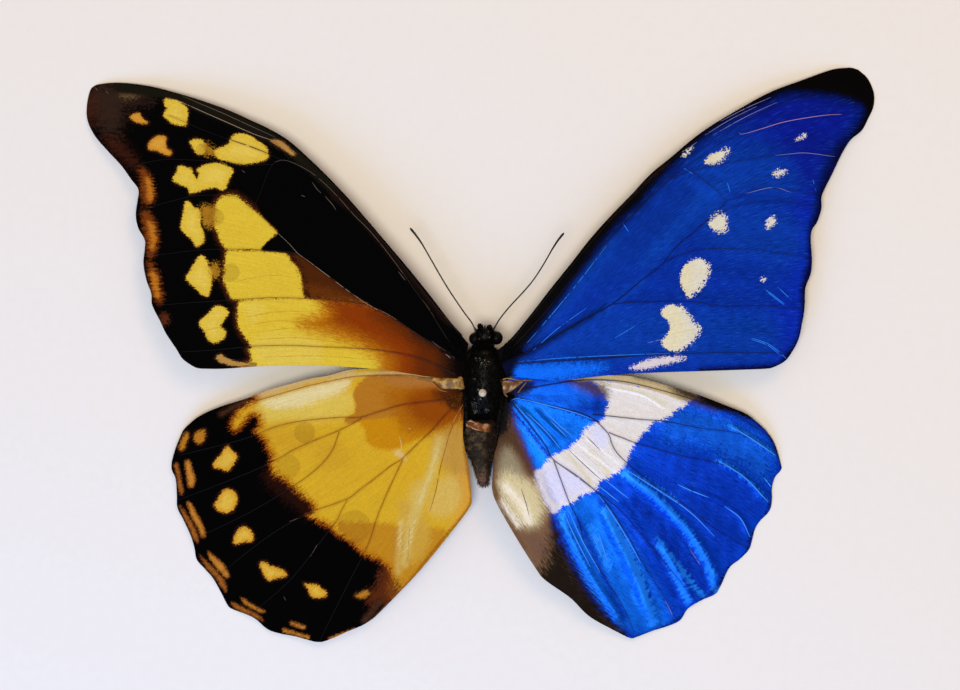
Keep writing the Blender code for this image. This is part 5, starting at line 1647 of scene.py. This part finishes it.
def make_proboscis():
    """The tongue: two grooved halves, wound in a flat spiral under the head."""
    turn = np.linspace(0, 1, 150)
    angle = math.radians(110) - turn * 2.5 * math.tau
    coil = 0.95 + (0.3 - 0.95) * turn
    taper = 0.085 * (1 - 0.45 * turn) * (1 + 0.06 * np.cos(turn * 150))
    halves = [np.column_stack([0.42 + side * 0.05 + 0 * turn, 10.2 + coil * np.cos(angle),
                               2.1 + coil * np.sin(angle), taper]) for side in (-1, 1)]
    item = tube("proboscis_coil", halves, 8)
    finish_piece(item, [cuticle("brown_tongue_cuticle", "#1c110a", "#3a2416", 0.5)], ["proboscis"])


def leg_radius(share, thick):
    """Thigh, shin and foot: each thins to the next joint, and the foot is cut in five."""
    knots = [0, 0.04, 0.16, 0.31, 0.34, 0.38, 0.62, 0.66, 0.7, 1.0]
    sizes = [0.6, 0.95, 1.15, 0.8, 0.62, 0.78, 0.6, 0.42, 0.46, 0.3]
    foot = np.where(share > 0.68, 0.09 * np.cos((share - 0.68) / 0.32 * 5 * math.tau), 0)
    return thick * (np.interp(share, knots, sizes) + foot)


def make_legs(fur):
    """Six folded legs with claws, spines and short scales, the left ones mirrored from the right ones."""
    shell = cuticle("brown_leg_cuticle", "#100b07", "#2c1e12", 0.7, 0.5, 0.3, 0.015)
    for seed, (pair, route) in enumerate(LEGS.items()):
        for side, name in ((-1, "left"), (1, "right")):
            path = spaced(smooth(np.array(route) * (side, 1, 1), steps=12), 90)
            share = np.linspace(0, 1, len(path))
            radius = leg_radius(share, 0.2 if pair != "fore" else 0.17)
            rods = [np.column_stack([path, radius])]
            heading = unit((path[1:] - path[:-1])[-1:])[0]
            for lean in (-1, 1):
                hook = path[-1] + np.outer(np.linspace(0, 0.35, 6), heading)
                hook[:, 0] += lean * 0.12 * np.sin(np.linspace(0, math.pi * 0.8, 6))
                rods.append(np.column_stack([hook, np.linspace(0.04, 0.012, 6)]))
            for spot in np.arange(36, 86, 5):
                away = np.array([side * 0.5, 0.0, -0.2 if spot % 2 else 0.3])
                spine = path[spot] + np.outer([0, 0.16, 0.3], unit((away + heading * 0.7)[None])[0])
                spine[:, 2] = np.maximum(spine[:, 2], 0.05)
                rods.append(np.column_stack([spine, [0.03, 0.02, 0.006]]))
            item = tube(f"leg_{pair}_{name}_jointed", rods)
            finish_piece(item, [shell], [f"leg_{pair}_{name}"])
            rng = np.random.default_rng(60 + 2 * seed + (side > 0))
            places, normals = roots_on(item, 900, rng, tubular=True)
            keep = places[:, 2] > 0.35
            places, normals = places[keep], normals[keep]
            flow = unit(path[1:] - path[:-1])[np.minimum(
                np.linalg.norm(places[:, None] - path, axis=2).argmin(1), len(path) - 2)]
            grow_hair(f"leg_{pair}_{name}_scales", places, normals, flow + 0.2 * normals, 0.22, 0.05, rng,
                      fur)


# The tan band behind the thorax: how far forward it lies at four places across, and its skin folds, pale with
# a painted highlight
BAND_TILT = ([-2.9, -1.2, 0.4, 2.0], [0.9, 0.48, 0.0, -0.05])
SKIN_FOLD_HIGHLIGHTS = [[(466, 422), (471, 420.5), (477, 423.5)], [(469, 425), (474, 428), (481, 430)],
              [(466.5, 420), (467, 424), (469, 427)]]
FOLD_POINTS = 24
# The abdomen's half width and its middle along the body, how each ring swells along its length, its two ends
# as loft's stations, and where its fur starts
ABDOMEN_WIDTHS = np.array([(-4.3, 2.1), (-5.0, 2.6), (-6.2, 2.75), (-8.0, 2.65), (-9.7, 2.35), (-11.5, 1.7),
                           (-13.0, 1.3), (-14.4, 1.0), (-15.1, 0.6)])
ABDOMEN_BENDS = np.array([(-4.3, -0.15), (-6.3, -0.3), (-9.7, -0.3), (-11.5, -0.05), (-14.7, 0.1)])
RING_SWELL = ((0.0, 0.94), (0.12, 1.0), (0.5, 1.03), (0.85, 1.04), (0.97, 1.02))
WAIST = [(-4.1, 0.8, 0.7, -0.12, 4.6), (-4.25, 1.5, 1.3, -0.12, 4.6)]
TIP = [(-15.1, 0.5, 0.42, 0.2, 4.25), (-15.35, 0.2, 0.2, 0.2, 4.25)]
ABDOMEN_FUR_FRONT = -6.4


def make_abdomen(fur):
    """Eight rings, wide at the waist and tapering to the tip, each sliding under the one before."""
    rings = np.linspace(-4.4, -14.9, 9)
    stations = list(WAIST)
    for front, rear in zip(rings, rings[1:]):
        for share, swell in RING_SWELL:
            along = front + (rear - front) * share
            half = np.interp(-along, -ABDOMEN_WIDTHS[:, 0], ABDOMEN_WIDTHS[:, 1]) * swell
            middle = np.interp(-along, -ABDOMEN_BENDS[:, 0], ABDOMEN_BENDS[:, 1])
            stations.append((along, half, half * 0.85, middle, 4.5 - 0.25 * ((along + 4.4) / -10.9)))
    abdomen = loft("abdomen_rings", stations + TIP, 20, 1)
    roughen(abdomen, 0.9, 0.07, 33)
    places = vertices_of(abdomen)
    set_attribute(abdomen, "along", -places[:, 1] + np.interp(places[:, 0], *BAND_TILT))
    set_attribute(abdomen, "across", places[:, 0] - 0.05)
    finish_piece(abdomen, [abdomen_scales("abdomen_scales_over_cuticle")], ["abdomen"])
    top = surface_of(abdomen)
    taper = 0.13 * np.sin(np.linspace(0.05, 0.95, FOLD_POINTS) * math.pi)
    folds = [lifted(top, spaced(smooth(traced(route), steps=6), FOLD_POINTS), taper) for route in SKIN_FOLD_HIGHLIGHTS]
    # The skin folds' pale colour is a painted highlight on their ridges
    skin = cuticle("pale_skin_fold_highlight", "#9a6a46", "#dab090", 0.3, 0.3, 0.5)
    finish_piece(tube("abdomen_skin_fold_highlights", folds), [skin])
    grow_fur(abdomen, "abdomen", fur, lambda places: places[:, 1] < ABDOMEN_FUR_FRONT)


def abdomen_scales(title):
    """Dull grey-brown scales over the abdomen, with a bare tan band behind the thorax."""
    made, tree = new_material(title)
    place = add_node(tree, "TexCoord").outputs["Object"]
    along = add_node(tree, "Attribute", attribute_name="along").outputs["Fac"]
    across = add_node(tree, "Attribute", attribute_name="across").outputs["Fac"]
    clouds = add_node(tree, "TexNoise", {"Vector": place, "Scale": 1 / (1.1 * MM),
                                         "Detail": 5.0}).outputs["Fac"]
    wave = add_node(tree, "Math", {0: clouds, 1: 0.5, 2: along}, operation="MULTIPLY_ADD").outputs[0]
    fur_brown = coat(tree, linear("#261d12"), "#5e4c38", clouds, 0.42, 0.7)[0]
    fur_brown = coat(tree, fur_brown, "#0e0a08", across, -0.1, 1.0, 0.9)[0]
    fur_brown = coat(tree, fur_brown, "#7a5440", wave, 13.4, 14.8, 0.8)[0]
    colour = coat(tree, linear("#6e3f1e"), "#b07c50", clouds, 0.44, 0.6)[0]
    colour = coat(tree, colour, "#050403", wave, 5.65, 5.4)[0]
    colour = coat(tree, colour, "#1c100a", across, 0.6, 1.5)[0]
    past = add_node(tree, "MapRange", {"Value": wave, "From Min": 6.6, "From Max": 6.9}).outputs[0]
    colour = add_node(tree, "Mix", {0: past, 6: colour, 7: fur_brown}, data_type="RGBA").outputs[2]
    pits = add_node(tree, "TexVoronoi", {"Vector": place, "Scale": 1 / (0.2 * MM)}).outputs["Distance"]
    bump = add_node(tree, "Bump", {"Height": pits, "Strength": 0.5, "Distance": 0.04 * MM}).outputs[0]
    close_material(tree, {"Base Color": colour, "Roughness": 0.5, "Specular IOR Level": 0.12, "Normal": bump})
    return made


def make_tail(fur):
    """The tip of the abdomen: two blunt claspers and a dark hook between them, in a tuft of hair."""
    claspers = []
    for name, x in (("left", -0.25), ("right", 0.62)):
        stations = [(-14.2, 0.35, 0.3, x, 4.4), (-14.8, 0.5, 0.42, x, 4.35),
                    (-15.3, 0.42, 0.36, x * 0.9 + 0.02, 4.3), (-15.65, 0.15, 0.14, x * 0.8, 4.3)]
        claspers.append(loft(f"clasper_{name}", stations, 12, 1))
    item = join(claspers, "claspers")
    roughen(item, 0.5, 0.08, 34)
    skin = cuticle("pinkish_brown_clasper_cuticle", "#4a3024", "#8a6450", 0.35, 0.45, 0.3)
    finish_piece(item, [skin])
    path = smooth([(0.4, -13.6, 4.9), (0.75, -14.2, 5.1), (0.72, -14.9, 4.95), (0.4, -15.3, 4.75)], steps=6)
    hook = tube("tail_hook", [np.column_stack([path, np.linspace(0.16, 0.04, len(path))])])
    finish_piece(hook, [cuticle("black_hook_cuticle", "#060504", "#120d0a", 0.4)])
    grow_fur(item, "tail", fur)


# Lumps that run together into the left wings' hinge plate, as (middle, half sizes) in millimetres
HINGE_LUMPS = [((-4.1, 1.75, 5.95), (1.1, 0.95, 0.45)), ((-3.75, 2.3, 6.1), (0.6, 0.45, 0.45)),
               ((-3.5, 0.85, 6.15), (0.6, 0.5, 0.5)), ((-5.5, 1.85, 5.95), (1.5, 0.8, 0.42)),
               ((-4.7, 0.95, 5.95), (1.0, 0.5, 0.36)),
               ((-6.6, 1.75, 5.85), (1.3, 0.62, 0.36)), ((-6.1, 0.85, 5.85), (0.9, 0.35, 0.28)),
               ((-7.8, 2.1, 5.8), (1.6, 0.38, 0.26)), ((-9.2, 2.3, 5.72), (1.6, 0.22, 0.18))]
# Corners of the flap at the right wings' hinge, and the rolled edges on it as (route, heights)
FLAP_TOP = [(500, 380), (524, 381)]
FLAP_LOW = [(504, 394), (511, 391)]
FLAP_EDGES = [([(500, 380), (502, 386), (504, 393), (507, 396)], [6.15, 6.2, 6.1, 5.9]),
              ([(500, 380), (508, 378), (518, 380), (532, 380)], [6.15, 6.2, 6.0, 5.65]),
              ([(526, 382), (521, 388), (518, 392)], [5.9, 5.8, 5.7])]
FLAP_THICKNESS = 0.12


def make_left_hinge():
    """The gold hinge plate where the left wings join the thorax: lumps that run together."""
    gold = cuticle("gold_hinge_plate_cuticle", "#74521a", "#b88c38", 1.1, 0.4, 0.45, 0.0)
    lumps = [ellipsoid("hinge_lump", centre, half, 24, 14) for centre, half in HINGE_LUMPS]
    item = join(lumps, "hinge_plates_left")
    apply_modifier(item, "REMESH", mode="VOXEL", voxel_size=0.06 * MM)
    apply_modifier(item, "SMOOTH", factor=0.5, iterations=60)
    roughen(item, 1.1, 0.12, 35)
    bpy.ops.object.shade_smooth()
    finish_piece(item, [gold])


def make_right_hinge():
    """The tan hinge plate of the right wings: a thin curled flap with rolled edges."""
    tan = cuticle("tan_hinge_flap_cuticle", "#604222", "#98744a", 0.8, 0.3, 0.45, 0.01)
    deselect()
    bpy.ops.mesh.primitive_grid_add(x_subdivisions=14, y_subdivisions=10, size=2)
    flap = bpy.context.object
    flap.name = flap.data.name = "hinge_flap_right"
    places = vertices_of(flap) * MM
    u, v = (places[:, 0] + 1) / 2, (places[:, 1] + 1) / 2
    top, low = (start + (stop - start) * u[:, None] for start, stop in (traced(FLAP_TOP), traced(FLAP_LOW)))
    flat = low + (top - low) * v[:, None]
    heights = 6.15 - 0.5 * u + 0.25 * np.sin(v * math.pi) + 0.12 * np.sin(u * 9)
    set_vertices(flap, np.column_stack([flat, heights]))
    if flap.data.polygons[0].normal.z < 0:
        flap.data.flip_normals()
    apply_modifier(flap, "SOLIDIFY", thickness=FLAP_THICKNESS * MM, offset=0.0)
    apply_modifier(flap, "SUBSURF", levels=1, render_levels=1)
    bpy.ops.object.shade_smooth()
    lines = [np.column_stack([traced(route), heights, np.full(len(route), FLAP_THICKNESS)])
             for route, heights in FLAP_EDGES]
    rims = tube("hinge_rim_right", [spaced(smooth(line, steps=8), 16) for line in lines])
    both = join([flap, rims], "hinge_flap_right")
    finish_piece(both, [tan])


def moulded_nylon(title):
    """Nylon ball of an insect pin: cast round the shank, warm white and glossy."""
    made, tree = new_material(title)
    place = add_node(tree, "TexCoord").outputs["Object"]
    flow = add_node(tree, "TexNoise", {"Vector": place, "Scale": 1 / (0.5 * MM),
                                       "Detail": 3.0}).outputs["Fac"]
    colour = coat(tree, linear("#b5a88e"), "#cdc2aa", flow, 0.35, 0.65)[0]
    bump = add_node(tree, "Bump", {"Height": flow, "Strength": 0.2, "Distance": 0.02 * MM}).outputs[0]
    close_material(tree, {"Base Color": colour, "Roughness": 0.28, "Specular IOR Level": 0.5, "Normal": bump})
    return made


def drawn_steel(title):
    """Drawn stainless wire: fine lines along the pin from the die."""
    made, tree = new_material(title)
    place = add_node(tree, "TexCoord").outputs["Object"]
    stretch = (1 / (0.05 * MM), 1 / (0.05 * MM), 1 / (3 * MM))
    drawn = add_node(tree, "Mapping", {"Vector": place, "Scale": stretch}).outputs[0]
    lines = add_node(tree, "TexNoise", {"Vector": drawn, "Scale": 1.0, "Detail": 2.0}).outputs["Fac"]
    colour, cover = coat(tree, linear("#a8a8ac"), "#c8c8cb", lines, 0.35, 0.65)
    rough = add_node(tree, "Math", {0: cover, 1: 0.14, 2: 0.22}, operation="MULTIPLY_ADD").outputs[0]
    close_material(tree, {"Base Color": colour, "Roughness": rough, "Metallic": 1.0})
    return made


# The pin, in millimetres: its wire runs up into the ball, which has a short neck
WIRE_RADIUS = 0.25
WIRE_TOP = 14.8
BALL_RADIUS = 0.635
BALL_MIDDLE = 15.335
NECK_DEPTH = 0.57


def make_pin():
    """A steel wire with eased edges, and a nylon ball on top."""
    deselect()
    bpy.ops.mesh.primitive_cylinder_add(vertices=24, radius=WIRE_RADIUS * MM, depth=WIRE_TOP * MM,
                                        location=(0, 0, WIRE_TOP / 2 * MM), end_fill_type="NGON")
    shank = bpy.context.object
    shank.name = shank.data.name = "pin_wire"
    bpy.ops.object.transform_apply(location=True, rotation=True, scale=True)
    bpy.ops.object.mode_set(mode="EDIT")
    bpy.ops.mesh.select_all(action="SELECT")
    bpy.ops.mesh.bevel(offset=0.05 * MM, segments=2)
    bpy.ops.object.mode_set(mode="OBJECT")
    bpy.ops.object.shade_smooth_by_angle(angle=math.radians(40))
    finish_piece(shank, [drawn_steel("drawn_steel_wire")], ["pin_shank"])
    deselect()
    bpy.ops.mesh.primitive_uv_sphere_add(segments=32, ring_count=20, radius=BALL_RADIUS * MM,
                                         location=(0, 0, BALL_MIDDLE * MM))
    ball = bpy.context.object
    ball.name = ball.data.name = "pin_ball"
    bpy.ops.object.transform_apply(location=True, rotation=True, scale=True)
    bpy.ops.object.mode_set(mode="EDIT")
    bpy.ops.mesh.select_mode(type="FACE")
    bpy.ops.mesh.select_all(action="DESELECT")
    bpy.ops.object.mode_set(mode="OBJECT")
    for face in ball.data.polygons:
        face.select = face.center.z / MM < BALL_MIDDLE - NECK_DEPTH
    bpy.ops.object.mode_set(mode="EDIT")
    bpy.ops.mesh.extrude_region_move(TRANSFORM_OT_translate={"value": (0, 0, -0.1 * MM)})
    bpy.ops.mesh.bevel(offset=0.02 * MM, segments=2)
    bpy.ops.object.mode_set(mode="OBJECT")
    bpy.ops.object.shade_smooth()
    finish_piece(ball, [moulded_nylon("moulded_nylon")], ["pin_head"])


# How far the fur grows out on each wing, in millimetres, and its count of hairs
ROOT_FUR = {"forewing_left": (4.4, 3600), "forewing_right": (3.6, 3200), "hindwing_left": (3.2, 1500),
            "hindwing_right": (1.5, 1200)}


def make_wing_fur(surfaces, fur):
    """Long hair on the wing roots, which hides where the wings join the body."""
    rng = np.random.default_rng(71)
    for name, surface in surfaces.items():
        hinge = np.array(WINGS[name]["hinge"][:2])
        side = -1 if name.endswith("left") else 1
        fore = name.startswith("fore")
        reach, count = ROOT_FUR[name]
        spread = rng.uniform(0, 1, (count, 2))
        places, lean = [], []
        for a, b in spread:
            heading = (0.45 + 1.35 * a) if fore else (-0.35 - 1.2 * a)
            out = np.array([side * math.cos(heading * 0.8), math.sin(heading * 0.8)])
            spot = hinge + out * (0.1 + reach * b ** 2.6)
            height = on_surface(surface, spot)
            if height is not None:
                places.append((*spot, height))
                lean.append((*out, 0.05))
        places, lean = np.array(places), np.array(lean) + rng.normal(0, 0.15, (len(places), 3))
        up = np.tile([0.0, 0.0, 1.0], (len(places), 1))
        grow_hair(f"{name}_root_fur", places, up, lean, 0.7, 0.05, rng, fur[name])


def make_body(surfaces):
    """Everything but the wings, with the fur that covers where they join."""
    black = hair_keratin("black_body_hair", "#020201", "#060504", "#1a1914", 0.07)
    brown = hair_keratin("brown_abdomen_hair", "#18110a", "#382c1c", "#66523a", 0.22)
    dark = hair_keratin("dark_wing_root_hair", "#020101", "#050403", "#1c140e", 0.06)
    rust = hair_keratin("rust_wing_root_hair", "#2a1408", "#5e3212", "#a5702c", 0.2)
    thorax = make_thorax(black)
    make_flanks(black)
    head = make_head(black)
    dust_and_glint_specks(thorax, THORAX_DUST_AND_GLINTS, "thorax_dust")
    dust_and_glint_specks(head, HEAD_DUST, "head_dust")
    make_eyes()
    make_feelers(black)
    make_proboscis()
    make_legs(dark)
    make_abdomen(brown)
    make_tail(brown)
    make_left_hinge()
    make_right_hinge()
    make_pin()
    make_wing_fur(surfaces, {"forewing_left": dark, "forewing_right": dark, "hindwing_left": rust,
                             "hindwing_right": dark})


# Setting

# The card under the specimen, in metres across, and the even light all round
CARD_WIDTH = 4.0
SKY_COLOUR = "#f3f2f4"
SKY_STRENGTH = 0.36
# Lamps, all aimed at the pin: name, place and width in metres, watts and colour
LAMPS = [("overhead_box", (-0.1, -0.2, 1.28), 0.6, 9.3, "#fff5e2"),
         ("warm_lamp", (0.25, 0.4, 0.5), 0.3, 0.85, "#ffc070"),
         ("cool_window", (-0.13, -0.32, 0.2), 0.25, 0.95, "#5ea6ff")]


def make_floor():
    """Matt pale card under the specimen."""
    deselect()
    bpy.ops.mesh.primitive_plane_add(size=CARD_WIDTH)
    floor = bpy.context.object
    floor.name = "floor"
    made, tree = new_material("matt_pale_card")
    place = add_node(tree, "TexCoord").outputs["Object"]
    fibre = add_node(tree, "TexNoise", {"Vector": place, "Scale": 1 / (1.5 * MM),
                                        "Detail": 4.0}).outputs["Fac"]
    colour = coat(tree, linear("#edebe7"), "#eeece9", fibre, 0.35, 0.65)[0]
    close_material(tree, {"Base Color": colour, "Roughness": 0.9, "Specular IOR Level": 0.1})
    floor.data.materials.append(made)


def add_light(name, place, size, power, colour):
    """A round soft lamp that shines at the pin's foot."""
    light = bpy.data.lights.new(name, "AREA")
    light.shape = "DISK"
    light.size = size
    light.energy = power
    light.color = linear(colour)[:3]
    item = bpy.data.objects.new(name, light)
    item.location = Vector(place)
    item.rotation_euler = (-Vector(place)).to_track_quat("-Z", "Y").to_euler()
    bpy.context.scene.collection.objects.link(item)


def make_studio():
    """Sky, lamps, and a camera straight above the middle of the photograph."""
    scene = bpy.context.scene
    world = bpy.data.worlds.new("studio")
    world.use_nodes = True
    world.node_tree.nodes["Background"].inputs["Color"].default_value = linear(SKY_COLOUR)
    world.node_tree.nodes["Background"].inputs["Strength"].default_value = SKY_STRENGTH
    scene.world = world
    for lamp in LAMPS:
        add_light(*lamp)
    scene.view_settings.view_transform = "Standard"
    camera = bpy.data.objects.new("camera", bpy.data.cameras.new("camera"))
    camera.data.sensor_width = SENSOR_WIDTH
    camera.data.lens = SENSOR_WIDTH * CAMERA_HEIGHT / VIEW_WIDTH
    camera.data.clip_start = 0.01
    x, y = traced(PHOTO_MIDDLE) * MM
    camera.location = Vector((x, y, CAMERA_HEIGHT))
    scene.collection.objects.link(camera)
    scene.camera = camera


make_body(make_wings())
make_floor()
make_studio()
